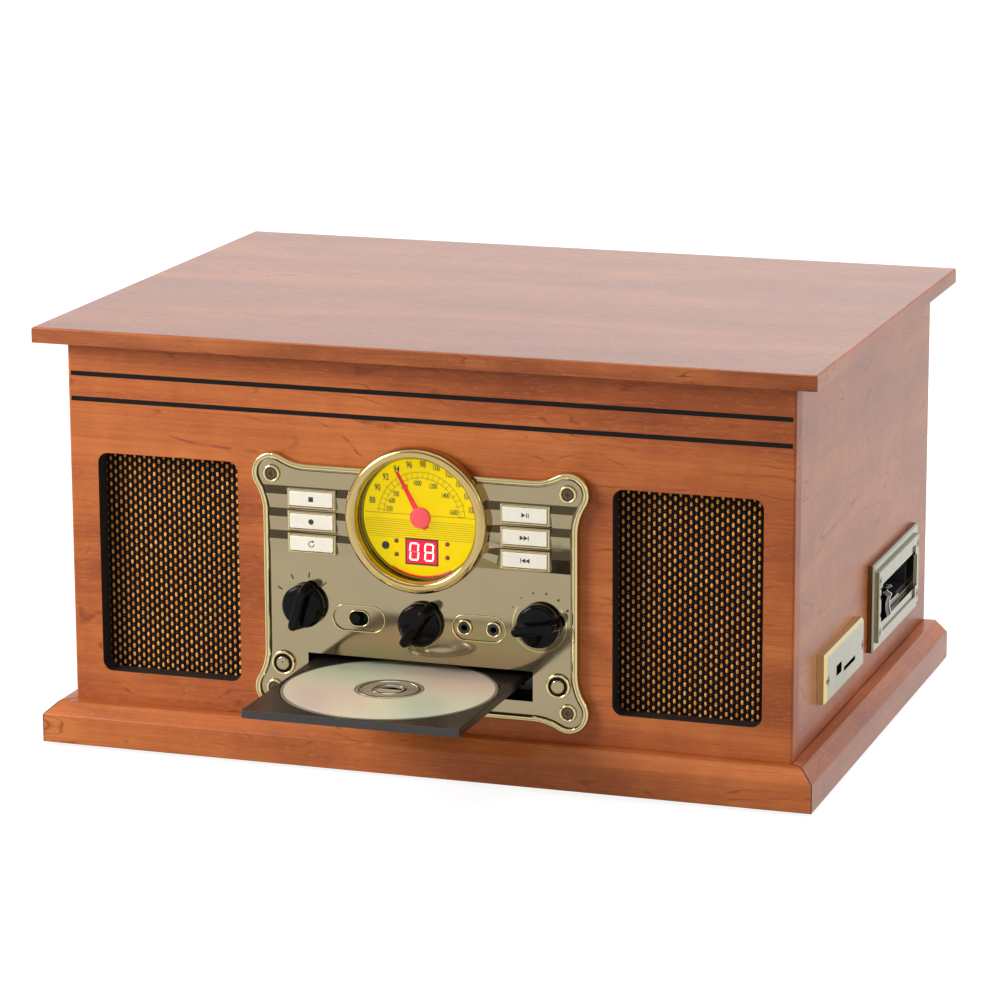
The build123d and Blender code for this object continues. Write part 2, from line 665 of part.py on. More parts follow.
with BuildPart() as faceplate:
    with BuildSketch(front_plane()):
        with Locations((PLATE_X, PLATE_Z)):
            add(scrolled_outline())
        with Locations((PLATE_X, DIAL_Z)):
            Circle(BEZEL_R - 1)
    extrude(amount=PLATE_T)
    with BuildSketch(front_plane(-PLATE_T)):
        with Locations((PLATE_X, PLATE_Z)):
            add(scrolled_outline())
            add(scrolled_outline(RIM_W), mode=Mode.SUBTRACT)
        with Locations((PLATE_X, DIAL_Z)):
            Circle(BEZEL_R + 0.2, mode=Mode.SUBTRACT)
    extrude(amount=RIM_RISE)
    fillet(faceplate.edges().group_by(Axis.Y)[0], RIM_ROUND)
    with BuildSketch(front_plane(-PLATE_T)):
        with Locations((PLATE_X, PLATE_Z)):
            add(scrolled_outline(RIM_W))
            add(scrolled_outline(RIM_W + RIM_GROOVE), mode=Mode.SUBTRACT)
        with Locations((PLATE_X, DIAL_Z)):
            Circle(BEZEL_R, mode=Mode.SUBTRACT)
    extrude(amount=-RIM_GROOVE, mode=Mode.SUBTRACT)
    add(ribs.part)
    # raised rings and frames round the keys, the round keys and the screws
    with BuildSketch(front_plane(-PLATE_T)):
        with Locations(*KEY_OPENINGS):
            Rectangle(KEY_W + 2 * (FIT_GAP + KEY_FRAME_W), KEY_H + 2 * (FIT_GAP + KEY_FRAME_W))
    extrude(amount=KEY_FRAME_RISE)
    with BuildSketch(front_plane(-PLATE_T)):
        with Locations(*ROUND_KEYS):
            Circle(ROUND_RING_R)
    extrude(amount=ROUND_RING_RISE, taper=20)
    with BuildSketch(front_plane(-PLATE_T)):
        with Locations(*LOBES):
            Circle(SCREW_BOSS_R)
    extrude(amount=SCREW_BOSS_RISE, taper=25)
    # hollow back over the opening in the front board
    with BuildSketch(front_plane()):
        with Locations((PLATE_X, PLATE_Z)):
            Rectangle(MODULE_W - 1, MODULE_H - 1)
    extrude(amount=PLATE_T - PLATE_WALL, mode=Mode.SUBTRACT)
    with BuildSketch(front_plane(-PLATE_T)):
        with Locations((PLATE_X, DIAL_Z)):
            Circle(CUP_R)
    extrude(amount=-DIAL_DEPTH)
    with BuildSketch(front_plane(-PLATE_T)):
        with Locations(*ROUND_KEYS):
            Circle(ROUND_KEY_R + CUP_WALL - FIT_GAP)
    extrude(amount=-PLATE_T)
    # everything that goes right through
    with BuildSketch(front_plane(DIAL_DEPTH + 2)):
        with Locations((PLATE_X, DIAL_Z)):
            Circle(DIAL_GLASS_R)
        with Locations(*KEY_OPENINGS):
            Rectangle(KEY_W + 2 * FIT_GAP, KEY_H + 2 * FIT_GAP)
        with Locations(*ROUND_KEYS):
            Circle(ROUND_KEY_R + FIT_GAP)
        with Locations(*KNOBS):
            Circle(SHAFT_R + FIT_GAP)
        with Locations((SLOT_X, SLOT_Z)):
            Rectangle(SLOT_W, SLOT_H)
        with Locations((BAND_X, CONTROL_Z)):
            SlotOverall(BAND_SLOT_W, BAND_SLOT_H)
        with Locations(*[(x, CONTROL_Z) for x in JACK_X]):
            Circle(JACK_NOSE_R)
        with Locations(*LOBES):
            Circle(SCREW_R)
    extrude(amount=PLATE_T * 5, mode=Mode.SUBTRACT)
    with BuildSketch(front_plane(-PLATE_T - SCREW_BOSS_RISE)):
        with Locations(*LOBES):
            Circle(SCREW_HEAD_R)
    extrude(amount=-SCREW_HEAD_H, mode=Mode.SUBTRACT)
    with BuildSketch(front_plane(-PLATE_T)):
        with Locations((BAND_X, CONTROL_Z), (JACK_PANEL_X, CONTROL_Z)):
            SlotOverall(STADIUM_W, STADIUM_H)
    extrude(amount=-STADIUM_DEPTH, mode=Mode.SUBTRACT)


def cross_head_screw(seat):
    """Countersunk cross-head screw whose head's top lies on the seat plane."""
    with BuildPart() as screw:
        with BuildSketch(seat):
            Circle(SCREW_HEAD_R)
        extrude(amount=-SCREW_HEAD_H)
        with BuildSketch(seat):
            Circle(SCREW_R)
        extrude(amount=-SCREW_L)
        with BuildSketch(seat):
            Rectangle(3.0, 0.7)
            Rectangle(0.7, 3.0)
        extrude(amount=-0.9, mode=Mode.SUBTRACT)
    return screw.part


def panel_screw_set():
    """Every visible screw: the fascia's four, the card panel's two, the tape panel's four."""
    seats = []
    for x, z in LOBES:
        seats.append(Plane(front_plane(-PLATE_T - SCREW_BOSS_RISE).from_local_coords((x, z, 0)),
                           x_dir=(1, 0, 0), z_dir=(0, -1, 0)))
    for y, z in USB_SCREWS:
        seats.append(Plane(side_plane(USB_PANEL_T).from_local_coords((y, z, 0)),
                           x_dir=(0, 1, 0), z_dir=(1, 0, 0)))
    for y, z in TAPE_SCREWS:
        seats.append(Plane(side_plane(TAPE_FLANGE_T + TAPE_STEP_RISE).from_local_coords((y, z, 0)),
                           x_dir=(0, 1, 0), z_dir=(1, 0, 0)))
    return Compound(children=[cross_head_screw(seat) for seat in seats])


panel_screws = panel_screw_set()

# =================================================================== dial
with BuildPart() as dial_bezel:
    with BuildSketch(turning_plane(PLATE_X, DIAL_Z, PLATE_T)):
        with BuildLine():
            foot = Line((LENS_R + 0.1, 0), (BEZEL_R, 0))
            side = Line(foot @ 1, (BEZEL_R, BEZEL_RISE * 0.45))
            outer = ThreePointArc(side @ 1, (BEZEL_R - 0.9, BEZEL_RISE * 0.83), (BEZEL_R - 3, BEZEL_RISE))
            inner = ThreePointArc(outer @ 1, (DIAL_GLASS_R + 0.9, BEZEL_RISE * 0.9),
                                  (DIAL_GLASS_R, LENS_DOME + 2.2))
            lip = Line(inner @ 1, (DIAL_GLASS_R, LENS_T + 0.4))
            step = Line(lip @ 1, (LENS_R + 0.1, LENS_T + 0.4))
            Line(step @ 1, (LENS_R + 0.1, 0))
        make_face()
    revolve(axis=turning_axis(PLATE_X, DIAL_Z))

dome_r = DIAL_GLASS_R - 0.4
half = dome_r / 2
with BuildPart() as dial_lens:
    with BuildSketch(turning_plane(PLATE_X, DIAL_Z, PLATE_T)):
        with BuildLine():
            base = Line((LENS_R, 0), (LENS_R, LENS_T))
            seat_ring = Line(base @ 1, (dome_r, LENS_T))
            dome = ThreePointArc(seat_ring @ 1, (half, LENS_T + dome_height(half, dome_r, LENS_DOME)),
                                 (0, LENS_T + LENS_DOME))
            middle = Line(dome @ 1, (0, LENS_DOME))
            hollow = ThreePointArc(middle @ 1, (half, dome_height(half, dome_r, LENS_DOME)), (dome_r, 0))
            Line(hollow @ 1, (LENS_R, 0))
        make_face()
    revolve(axis=turning_axis(PLATE_X, DIAL_Z))

FACE_DEPTH = DIAL_DEPTH - PLATE_T
with BuildPart() as dial_face:
    with BuildSketch(front_plane(FACE_DEPTH)):
        with Locations((PLATE_X, DIAL_Z)):
            Circle(CUP_R)
            Circle(SPINDLE_R + FIT_GAP, mode=Mode.SUBTRACT)
        with Locations((PLATE_X, DIAL_Z - WINDOW_DROP)):
            Rectangle(WINDOW_W, WINDOW_H, mode=Mode.SUBTRACT)
        with Locations(*[(PLATE_X + s * LED_X, DIAL_Z - drop) for s in (-1, 1) for drop in LED_DROPS]):
            Circle(LED_R + 0.1, mode=Mode.SUBTRACT)
    extrude(amount=-DIAL_FACE_T)

MODULE_BACK = FACE_DEPTH + DIAL_FACE_T
with BuildPart() as display_module:
    with BuildSketch(front_plane(MODULE_BACK)):
        with Locations((PLATE_X, DIAL_Z - WINDOW_DROP)):
            Rectangle(WINDOW_W - 0.4, WINDOW_H - 0.4)
        with Locations(*[(PLATE_X + s * LED_X, DIAL_Z - drop) for s in (-1, 1) for drop in LED_DROPS]):
            Circle(LED_R)
    extrude(amount=DIAL_FACE_T - 0.3)
    with BuildSketch(front_plane(MODULE_BACK)):
        with Locations((PLATE_X, DIAL_Z - WINDOW_DROP)):
            Rectangle(2 * LED_X + 8, WINDOW_H + 5)
    extrude(amount=-4)

NEEDLE_OUT = FACE_DEPTH - 1.4
needle_plane = Plane(
    origin=(PLATE_X, FRONT_Y + NEEDLE_OUT, BASE_Z + DIAL_Z),
    x_dir=(cos(radians(NEEDLE_LEAN_DEG)), 0, sin(radians(NEEDLE_LEAN_DEG))),
    z_dir=(0, -1, 0),
)
BUSH_DEPTH = BOARD_T - 4.5
with BuildPart() as dial_needle:
    with BuildSketch(needle_plane):
        with BuildLine():
            Polyline((-1.75, -7.0), (1.75, -7.0), (1.6, 2.0), (0.75, NEEDLE_L), (-0.75, NEEDLE_L), (-1.6, 2.0),
                     close=True)
        make_face()
        Circle(NEEDLE_HUB_R)
    extrude(amount=NEEDLE_T)
    with BuildSketch(needle_plane.offset(NEEDLE_T)):
        Circle(NEEDLE_HUB_R - 0.4)
    extrude(amount=1.2, taper=30)
    with BuildSketch(needle_plane):
        Circle(SPINDLE_R)
    extrude(amount=-(BOARD_T - 1 - NEEDLE_OUT))


# =============================================================== controls
def key(x, z):
    """Oblong push key in its fascia opening, with the stem that works its switch."""
    with BuildPart() as cap:
        with BuildSketch(front_plane(-PLATE_T - KEY_RISE)):
            with Locations((x, z)):
                RectangleRounded(KEY_W, KEY_H, 0.8)
        extrude(amount=-(PLATE_T + KEY_RISE + 1.0))
        fillet(cap.edges().group_by(Axis.Y)[0], 0.4)
        with BuildSketch(front_plane(PLATE_WALL - PLATE_T)):
            with Locations((x, z)):
                Rectangle(KEY_W + KEY_FLANGE, KEY_H + KEY_FLANGE)
        extrude(amount=-1.0)
        with BuildSketch(front_plane(1.0)):
            with Locations((x, z)):
                Circle(STEM_R)
        extrude(amount=-(BUSH_DEPTH - 1.0 - KEY_TRAVEL - FIT_GAP))
    return cap


stop_button = key(PLATE_X - KEY_X, KEY_ZS[0])
record_button = key(PLATE_X - KEY_X, KEY_ZS[1])
repeat_button = key(PLATE_X - KEY_X, KEY_ZS[2])
play_button = key(PLATE_X + KEY_X, KEY_ZS[0])
next_button = key(PLATE_X + KEY_X, KEY_ZS[1])
previous_button = key(PLATE_X + KEY_X, KEY_ZS[2])


def round_key(x, z):
    """Domed round push key with its stem."""
    with BuildPart() as cap:
        with BuildSketch(front_plane(-PLATE_T - ROUND_KEY_RISE)):
            with Locations((x, z)):
                Circle(ROUND_KEY_R)
        extrude(amount=-(PLATE_T + ROUND_KEY_RISE))
        fillet(cap.edges().group_by(Axis.Y)[0], 1.0)
        with BuildSketch(front_plane()):
            with Locations((x, z)):
                Circle(ROUND_KEY_R + CUP_WALL - 2 * FIT_GAP)
        extrude(amount=-1.0)
        with BuildSketch(front_plane()):
            with Locations((x, z)):
                Circle(STEM_R)
        extrude(amount=-(BOARD_T - KEY_TRAVEL - FIT_GAP))
    return cap


power_button = round_key(*ROUND_KEYS[0])
eject_button = round_key(*ROUND_KEYS[1])


def pointer_knob(x, z, turn):
    """Pointer knob: a round skirt, a raised grip right across it, and its shaft."""
    back = front_plane(-PLATE_T - KNOB_GAP)
    lean = Plane(
        origin=back.from_local_coords((x, z, KNOB_BASE_H - 1)),
        x_dir=(sin(radians(turn)), 0, cos(radians(turn))),
        z_dir=(0, -1, 0),
    )
    with BuildPart() as knob:
        with BuildSketch(turning_plane(x, z, PLATE_T + KNOB_GAP)):
            with BuildLine():
                rim = Line((KNOB_R, 0), (KNOB_R, KNOB_BASE_H * 0.5))
                shoulder = ThreePointArc(rim @ 1, (KNOB_R - 0.8, KNOB_BASE_H * 0.85), (KNOB_R - 3, KNOB_BASE_H))
                crown = Line(shoulder @ 1, (0, KNOB_BASE_H + 0.8))
                Line(crown @ 1, (0, 0))
                Line((0, 0), (KNOB_R, 0))
            make_face()
        revolve(axis=turning_axis(x, z))
        with BuildSketch(lean.offset(1 - KNOB_BASE_H)):
            SlotOverall(KNOB_GRIP_L, KNOB_GRIP_W)
        with BuildSketch(lean.offset(KNOB_GRIP_H)):
            SlotOverall(KNOB_GRIP_L - 4.5, KNOB_GRIP_W - 3.4)
        loft()
        fillet(knob.edges().group_by(Axis.Y)[0], 1.2)
        with BuildSketch(back):
            with Locations((x, z)):
                Circle(SHAFT_R)
        extrude(amount=-(PLATE_T + KNOB_GAP + BOARD_T))
    return knob


function_knob = pointer_knob(FUNCTION_X, FUNCTION_Z, FUNCTION_TURN)
tuning_knob = pointer_knob(TUNING_X, TUNING_Z, TUNING_TURN)
volume_knob = pointer_knob(VOLUME_X, VOLUME_Z, VOLUME_TURN)

SLIDER_W = BAND_SLOT_W - BAND_TRAVEL - 2 * FIT_GAP
SLIDER_X = BAND_X - BAND_TRAVEL / 2
with BuildPart() as band_switch:
    with BuildSketch(front_plane(-PLATE_T - 1.2)):
        with Locations((SLIDER_X, CONTROL_Z)):
            SlotOverall(SLIDER_W, BAND_SLOT_H - 2 * FIT_GAP - 1.4)
    extrude(amount=-(PLATE_T + 1.2))
    chamfer(band_switch.edges().group_by(Axis.Y)[0], 0.4)
    with BuildSketch(front_plane()):
        with Locations((SLIDER_X, CONTROL_Z)):
            Rectangle(2, 2)
    extrude(amount=-7)

with BuildPart() as jack_sockets:
    with BuildSketch(front_plane(PLATE_WALL - PLATE_T)):
        with Locations(*[(x, CONTROL_Z) for x in JACK_X]):
            Rectangle(11, 10)
    extrude(amount=-JACK_DEPTH + PLATE_WALL)
    with BuildSketch(front_plane(-PLATE_T - 0.6)):
        with Locations(*[(x, CONTROL_Z) for x in JACK_X]):
            Circle(JACK_NOSE_R)
    extrude(amount=-(PLATE_WALL + 0.6))
    with BuildSketch(front_plane(-PLATE_T - 0.6)):
        with Locations(*[(x, CONTROL_Z) for x in JACK_X]):
            Circle(JACK_BORE_R)
    extrude(amount=-JACK_DEPTH, mode=Mode.SUBTRACT)

POT_SIZE = 17.0
BOARD_LOW_Z = DRIVE_TOP_Z + 4.0
with BuildPart() as control_board:
    with BuildSketch(front_plane(BOARD_T)):
        with Locations((PLATE_X, (BOARD_LOW_Z + PLATE_Z + MODULE_H / 2) / 2)):
            Rectangle(MODULE_W + 24, PLATE_Z + MODULE_H / 2 - BOARD_LOW_Z)
        with Locations(*ROUND_KEYS):
            Rectangle(16, 2 * (BOARD_LOW_Z - ROUND_KEY_Z + 1))
    extrude(amount=-PCB_T)
    with BuildSketch(front_plane(BOARD_T)):
        with Locations(*KNOBS):
            Rectangle(POT_SIZE, POT_SIZE)
    extrude(amount=BOARD_T - 3.5)
    with BuildSketch(front_plane(BOARD_T)):
        with Locations(*KEY_OPENINGS):
            Rectangle(6, 6)
        with Locations((PLATE_X, DIAL_Z)):
            Rectangle(12, 9)
        with Locations((BAND_X, CONTROL_Z)):
            Rectangle(20, 9)
    extrude(amount=BOARD_T - BUSH_DEPTH)
    with BuildSketch(front_plane(BOARD_T + PCB_T)):
        with Locations(*KNOBS):
            Circle(SHAFT_R + SHAFT_PLAY)
        with Locations((PLATE_X, DIAL_Z)):
            Circle(SPINDLE_R + SHAFT_PLAY)
    extrude(amount=BOARD_T + PCB_T, mode=Mode.SUBTRACT)

# ================================================================ CD drive
with BuildPart() as cd_tray:
    with BuildSketch(Plane.XY.offset(BASE_Z + TRAY_TOP_Z)):
        with Locations((TRAY_X, FRONT_Y - TRAY_REACH + TRAY_L / 2)):
            Rectangle(TRAY_W, TRAY_L)
    extrude(amount=-TRAY_H)
    front_corners = cd_tray.edges().filter_by(Axis.Z).group_by(Axis.Y)[0]
    fillet(front_corners, 1.0)
    with BuildSketch(Plane.XY.offset(BASE_Z + TRAY_TOP_Z)):
        with Locations((TRAY_X, FRONT_Y + DISC_Y)):
            Circle(DISC_R + 0.8)
    extrude(amount=-WELL_DEPTH, mode=Mode.SUBTRACT)
    with BuildSketch(Plane.XY.offset(BASE_Z + TRAY_TOP_Z - WELL_DEPTH)):
        with Locations((TRAY_X, FRONT_Y + DISC_Y)):
            Circle(DISC_R * 2 / 3)
    extrude(amount=-0.8, mode=Mode.SUBTRACT)
    with BuildSketch(Plane.XY.offset(BASE_Z + TRAY_TOP_Z)):
        with Locations((TRAY_X, FRONT_Y + DISC_Y + SLED_BACK)):
            SlotOverall(SLED_L, SLED_W, rotation=90)
    extrude(amount=-TRAY_H, mode=Mode.SUBTRACT)
    top_edges = cd_tray.faces().sort_by(Axis.Z)[-1].outer_wire().edges()
    chamfer(top_edges, 0.4)

DISC_FLOOR_Z = BASE_Z + TRAY_TOP_Z - WELL_DEPTH + FIT_GAP
with BuildPart() as cd_disc:
    with BuildSketch(Plane.XY.offset(DISC_FLOOR_Z)):
        with Locations((TRAY_X, FRONT_Y + DISC_Y)):
            Circle(DISC_R)
            Circle(DISC_HOLE_R, mode=Mode.SUBTRACT)
    extrude(amount=DISC_T)
    with BuildSketch(Plane.XY.offset(DISC_FLOOR_Z + DISC_T)):
        with Locations((TRAY_X, FRONT_Y + DISC_Y)):
            Circle(DISC_HUB_R + 0.5)
            Circle(DISC_HUB_R - 0.5, mode=Mode.SUBTRACT)
    extrude(amount=0.2)

DRIVE_W = TRAY_W + 2 * (FIT_GAP + 0.5 + DRIVE_WALL)
DRIVE_Y = FRONT_Y + BOARD_T + 2 + DRIVE_L / 2
LOADED_Y = FRONT_Y + DISC_Y + TRAY_TRAVEL
with BuildPart() as cd_mechanism:
    with BuildSketch(Plane.XY.offset(BASE_Z + DRIVE_FLOOR_Z)):
        with Locations((TRAY_X, DRIVE_Y)):
            Rectangle(DRIVE_W, DRIVE_L)
    extrude(amount=DRIVE_TOP_Z - DRIVE_FLOOR_Z)
    with BuildSketch(Plane.XY.offset(BASE_Z + DRIVE_FLOOR_Z + DRIVE_WALL)):
        with Locations((TRAY_X, DRIVE_Y)):
            Rectangle(DRIVE_W - 2 * DRIVE_WALL - 10, DRIVE_L)
    extrude(amount=TRAY_TOP_Z - DRIVE_FLOOR_Z, mode=Mode.SUBTRACT)
    with BuildSketch(Plane.XY.offset(BASE_Z + TRAY_TOP_Z - TRAY_H - FIT_GAP)):
        with Locations((TRAY_X, DRIVE_Y)):
            Rectangle(DRIVE_W - 2 * DRIVE_WALL, DRIVE_L)
    extrude(amount=TRAY_H + 2 * FIT_GAP + 1.0, mode=Mode.SUBTRACT)
    with BuildSketch(Plane.XY.offset(BASE_Z + TRAY_TOP_Z)):
        with Locations((TRAY_X, LOADED_Y + 22 + DRIVE_L / 2), (TRAY_X, LOADED_Y - 22 - DRIVE_L / 2)):
            Rectangle(DRIVE_W - 2 * DRIVE_WALL - 6, DRIVE_L)
    extrude(amount=DRIVE_TOP_Z - TRAY_TOP_Z, mode=Mode.SUBTRACT)
    # turntable below the loaded disc, clamp above it, and four legs
    with BuildSketch(Plane.XY.offset(BASE_Z + DRIVE_FLOOR_Z)):
        with Locations((TRAY_X, LOADED_Y)):
            Circle(DISC_HUB_R - 2)
    extrude(amount=TRAY_TOP_Z - TRAY_H - DRIVE_FLOOR_Z - 1.5)
    leg_grid = (DRIVE_W - 16, DRIVE_L - 20)
    with BuildSketch(Plane.XY.offset(BASE_Z + BASE_T)):
        with Locations((TRAY_X, DRIVE_Y)):
            with GridLocations(*leg_grid, 2, 2):
                Circle(DRIVE_LEG_R)
    extrude(amount=DRIVE_FLOOR_Z - BASE_T)

# ============================================================= right side
with BuildPart() as usb_plate:
    with BuildSketch(side_plane()):
        with Locations((USB_PANEL_Y, USB_PANEL_Z)):
            Rectangle(USB_PANEL_W, USB_PANEL_H)
    extrude(amount=USB_PANEL_T)
    chamfer(usb_plate.faces().sort_by(Axis.X)[-1].outer_wire().edges(), USB_PANEL_CHAMFER)
    with BuildSketch(side_plane()):
        with Locations((USB_Y, USB_Z)):
            Rectangle(USB_W, USB_H)
        with Locations((CARD_Y, CARD_Z)):
            Rectangle(CARD_W, CARD_H)
        with Locations(*USB_SCREWS):
            Circle(SCREW_R)
    extrude(amount=USB_PANEL_T, mode=Mode.SUBTRACT)
    with BuildSketch(side_plane(USB_PANEL_T)):
        with Locations(*USB_SCREWS):
            Circle(SCREW_HEAD_R)
    extrude(amount=-SCREW_HEAD_H, mode=Mode.SUBTRACT)

SOCKET_FLOOR_Z = CARD_Z - CARD_H / 2 - 1.2
with BuildPart() as card_sockets:
    with BuildSketch(side_plane()):
        with Locations((USB_Y, (SOCKET_FLOOR_Z + USB_Z + USB_H / 2 + 1) / 2)):
            Rectangle(USB_W + 2, USB_Z + USB_H / 2 + 1 - SOCKET_FLOOR_Z)
        with Locations((CARD_Y, CARD_Z)):
            Rectangle(CARD_W + 2.4, CARD_H + 2.4)
        with Locations((USB_PANEL_Y, SOCKET_FLOOR_Z - PCB_T / 2)):
            Rectangle(USB_PANEL_W - 22, PCB_T)
    extrude(amount=-SOCKET_L)
    with BuildSketch(side_plane()):
        with Locations((USB_Y, USB_Z)):
            Rectangle(USB_W - 0.4, USB_H - 0.9)
        with Locations((CARD_Y, CARD_Z)):
            Rectangle(CARD_W - 1.6, CARD_H - 0.2)
    extrude(amount=-SOCKET_BORE_L, mode=Mode.SUBTRACT)
    with BuildSketch(side_plane(-2)):
        with Locations((USB_Y, USB_Z + 0.9)):
            Rectangle(USB_W - 2.2, 1.8)
    extrude(amount=1 - SOCKET_BORE_L)

with BuildPart() as cassette_frame:
    with BuildSketch(side_plane()):
        with Locations((TAPE_Y, TAPE_Z)):
            Rectangle(TAPE_W, TAPE_H)
    extrude(amount=TAPE_FLANGE_T)
    chamfer(cassette_frame.faces().sort_by(Axis.X)[-1].outer_wire().edges(), 1.0)
    with BuildSketch(side_plane(TAPE_FLANGE_T)):
        with Locations((TAPE_Y, TAPE_Z)):
            Rectangle(TAPE_W - 2 * TAPE_STEP, TAPE_H - 2 * TAPE_STEP)
    extrude(amount=TAPE_STEP_RISE)
    chamfer(cassette_frame.faces().sort_by(Axis.X)[-1].outer_wire().edges(), 0.5)
    with BuildSketch(side_plane(TAPE_FLANGE_T + TAPE_STEP_RISE)):
        with Locations((TAPE_Y, TAPE_Z)):
            Rectangle(TAPE_MOUTH_W, TAPE_H - 2 * (TAPE_STEP + TAPE_BAND))
            Rectangle(TAPE_W - 2 * (TAPE_STEP + TAPE_BAND), TAPE_MOUTH_H - 3)
    extrude(amount=-TAPE_STEP_RISE / 2, mode=Mode.SUBTRACT)
    with BuildSketch(side_plane()):
        with Locations((TAPE_Y, TAPE_Z)):
            Rectangle(TAPE_MOUTH_W, TAPE_MOUTH_H)
        with Locations(*TAPE_SCREWS):
            Circle(SCREW_R)
    extrude(amount=TAPE_FLANGE_T + TAPE_STEP_RISE, mode=Mode.SUBTRACT)
    with BuildSketch(side_plane(TAPE_FLANGE_T + TAPE_STEP_RISE)):
        with Locations(*TAPE_SCREWS):
            Circle(SCREW_HEAD_R)
    extrude(amount=-SCREW_HEAD_H, mode=Mode.SUBTRACT)

with BuildPart() as cassette_mechanism:
    with BuildSketch(side_plane()):
        with Locations((TAPE_Y, TAPE_Z)):
            Rectangle(TAPE_MOUTH_W + 5, TAPE_MOUTH_H + 5)
    extrude(amount=-TAPE_DEPTH)
    with BuildSketch(side_plane()):
        with Locations((BAY_Y, TAPE_Z)):
            Rectangle(BAY_W, BAY_H)
    extrude(amount=-TAPE_DEPTH + 6, mode=Mode.SUBTRACT)
    with BuildSketch(side_plane()):
        with Locations((LEVER_Y, TAPE_Z)):
            Rectangle(LEVER_W + 2 * FIT_GAP, LEVER_H + 2 * FIT_GAP)
    extrude(amount=-LEVER_L, mode=Mode.SUBTRACT)
    with BuildSketch(Plane.XY.offset(BASE_Z + BASE_T)):
        with Locations((SIDE_X - TAPE_DEPTH / 2, FRONT_Y + TAPE_Y)):
            with GridLocations(TAPE_DEPTH - 40, TAPE_MOUTH_W - 12, 2, 2):
                Circle(DRIVE_LEG_R)
    extrude(amount=TAPE_Z - (TAPE_MOUTH_H + 5) / 2 - BASE_T)

with BuildPart() as cassette_lever:
    with BuildSketch(side_plane(LEVER_OUT)):
        with Locations((LEVER_Y, TAPE_Z)):
            Rectangle(LEVER_W, LEVER_H)
    extrude(amount=-(LEVER_L + LEVER_OUT - LEVER_TRAVEL - FIT_GAP))
    finger = cassette_lever.edges().filter_by(Axis.Z).group_by(Axis.X)[-1]
    fillet(finger, 4.0)
    with BuildSketch(side_plane(LEVER_OUT)):
        with Locations((LEVER_Y, TAPE_Z + LEVER_H / 2 - 3)):
            Rectangle(LEVER_W - 5, 2.5)
    extrude(amount=-3, mode=Mode.SUBTRACT)

# ==================================================================== lid
LID_W = CABINET_W + 2 * LID_OVERHANG
LID_D = CABINET_D + LID_OVERHANG + HINGE_AXIS_OUT
NOTCH_R = KNUCKLE_R + FIT_GAP
with BuildPart() as lid:
    with BuildSketch(Plane.XY.offset(HINGE_Z)):
        with Locations((0, HINGE_Y - LID_D / 2)):
            Rectangle(LID_W, LID_D)
    extrude(amount=LID_T)
    chamfer(lid.edges().group_by(Axis.Z)[-1], LID_EDGE)
    with BuildSketch(Plane.YZ):
        with Locations((HINGE_Y, HINGE_Z)):
            Circle(NOTCH_R)
    extrude(amount=HINGE_X + HINGE_L / 2 + FIT_GAP, both=True, mode=Mode.SUBTRACT)
    with BuildSketch(Plane.XY.offset(HINGE_Z)):
        with Locations((0, HINGE_Y - NOTCH_R / 2)):
            Rectangle(2 * HINGE_X - HINGE_L - 2 * FIT_GAP, NOTCH_R)
    extrude(amount=NOTCH_R)

BARREL_L = (HINGE_L - 2 * FIT_GAP) / 3
AXIS_PLANE = Plane(origin=(0, HINGE_Y, HINGE_Z), x_dir=(0, 1, 0), z_dir=(1, 0, 0))


def body_leaf(x):
    """Hinge leaf on the back board, with the two outer barrels."""
    with BuildPart() as leaf:
        with BuildSketch(back_plane()):
            with Locations((x, CABINET_H - LEAF_H / 2)):
                Rectangle(HINGE_L, LEAF_H)
        extrude(amount=-LEAF_T)
        with BuildSketch(AXIS_PLANE.offset(x - HINGE_L / 2)):
            Circle(KNUCKLE_R)
        extrude(amount=HINGE_L)
        with BuildSketch(AXIS_PLANE.offset(x - BARREL_L / 2 - FIT_GAP)):
            Circle(NOTCH_R)
        extrude(amount=BARREL_L + 2 * FIT_GAP, mode=Mode.SUBTRACT)
        with BuildSketch(AXIS_PLANE.offset(x - HINGE_L / 2)):
            Circle(HINGE_PIN_R)
        extrude(amount=HINGE_L, mode=Mode.SUBTRACT)
    return leaf.part


def lid_leaf(x):
    """Hinge leaf on the lid's back edge, with the middle barrel."""
    with BuildPart() as leaf:
        with BuildSketch(Plane(origin=(0, HINGE_Y, HINGE_Z), x_dir=(1, 0, 0), z_dir=(0, -1, 0))):
            with Locations((x, (NOTCH_R + LID_T - LID_EDGE) / 2)):
                Rectangle(HINGE_L, LID_T - LID_EDGE - NOTCH_R)
            with Locations((x, NOTCH_R / 2)):
                Rectangle(BARREL_L, NOTCH_R)
        extrude(amount=-LEAF_T)
        with BuildSketch(AXIS_PLANE.offset(x - BARREL_L / 2)):
            Circle(KNUCKLE_R)
        extrude(amount=BARREL_L)
        with BuildSketch(AXIS_PLANE.offset(x - BARREL_L / 2)):
            Circle(HINGE_PIN_R + SHAFT_PLAY)
        extrude(amount=BARREL_L, mode=Mode.SUBTRACT)
    return leaf.part


body_hinge_leaves = Compound(children=[body_leaf(-HINGE_X), body_leaf(HINGE_X)])
lid_hinge_leaves = Compound(children=[lid_leaf(-HINGE_X), lid_leaf(HINGE_X)])

with BuildPart() as hinge_pins:
    for x in (-HINGE_X, HINGE_X):
        with BuildSketch(AXIS_PLANE.offset(x - HINGE_L / 2)):
            Circle(HINGE_PIN_R)
        extrude(amount=HINGE_L)


# The stay works as an isosceles linkage: the arm is as long as its pivot is
# from the hinge, so its stud runs along a straight track through the hinge axis.
def on_hinge_ray(distance, drop_deg):
    """Local (y, z) of a point on a ray from the hinge axis, drop_deg below level."""
    return (-distance * cos(radians(drop_deg)), -distance * sin(radians(drop_deg)))


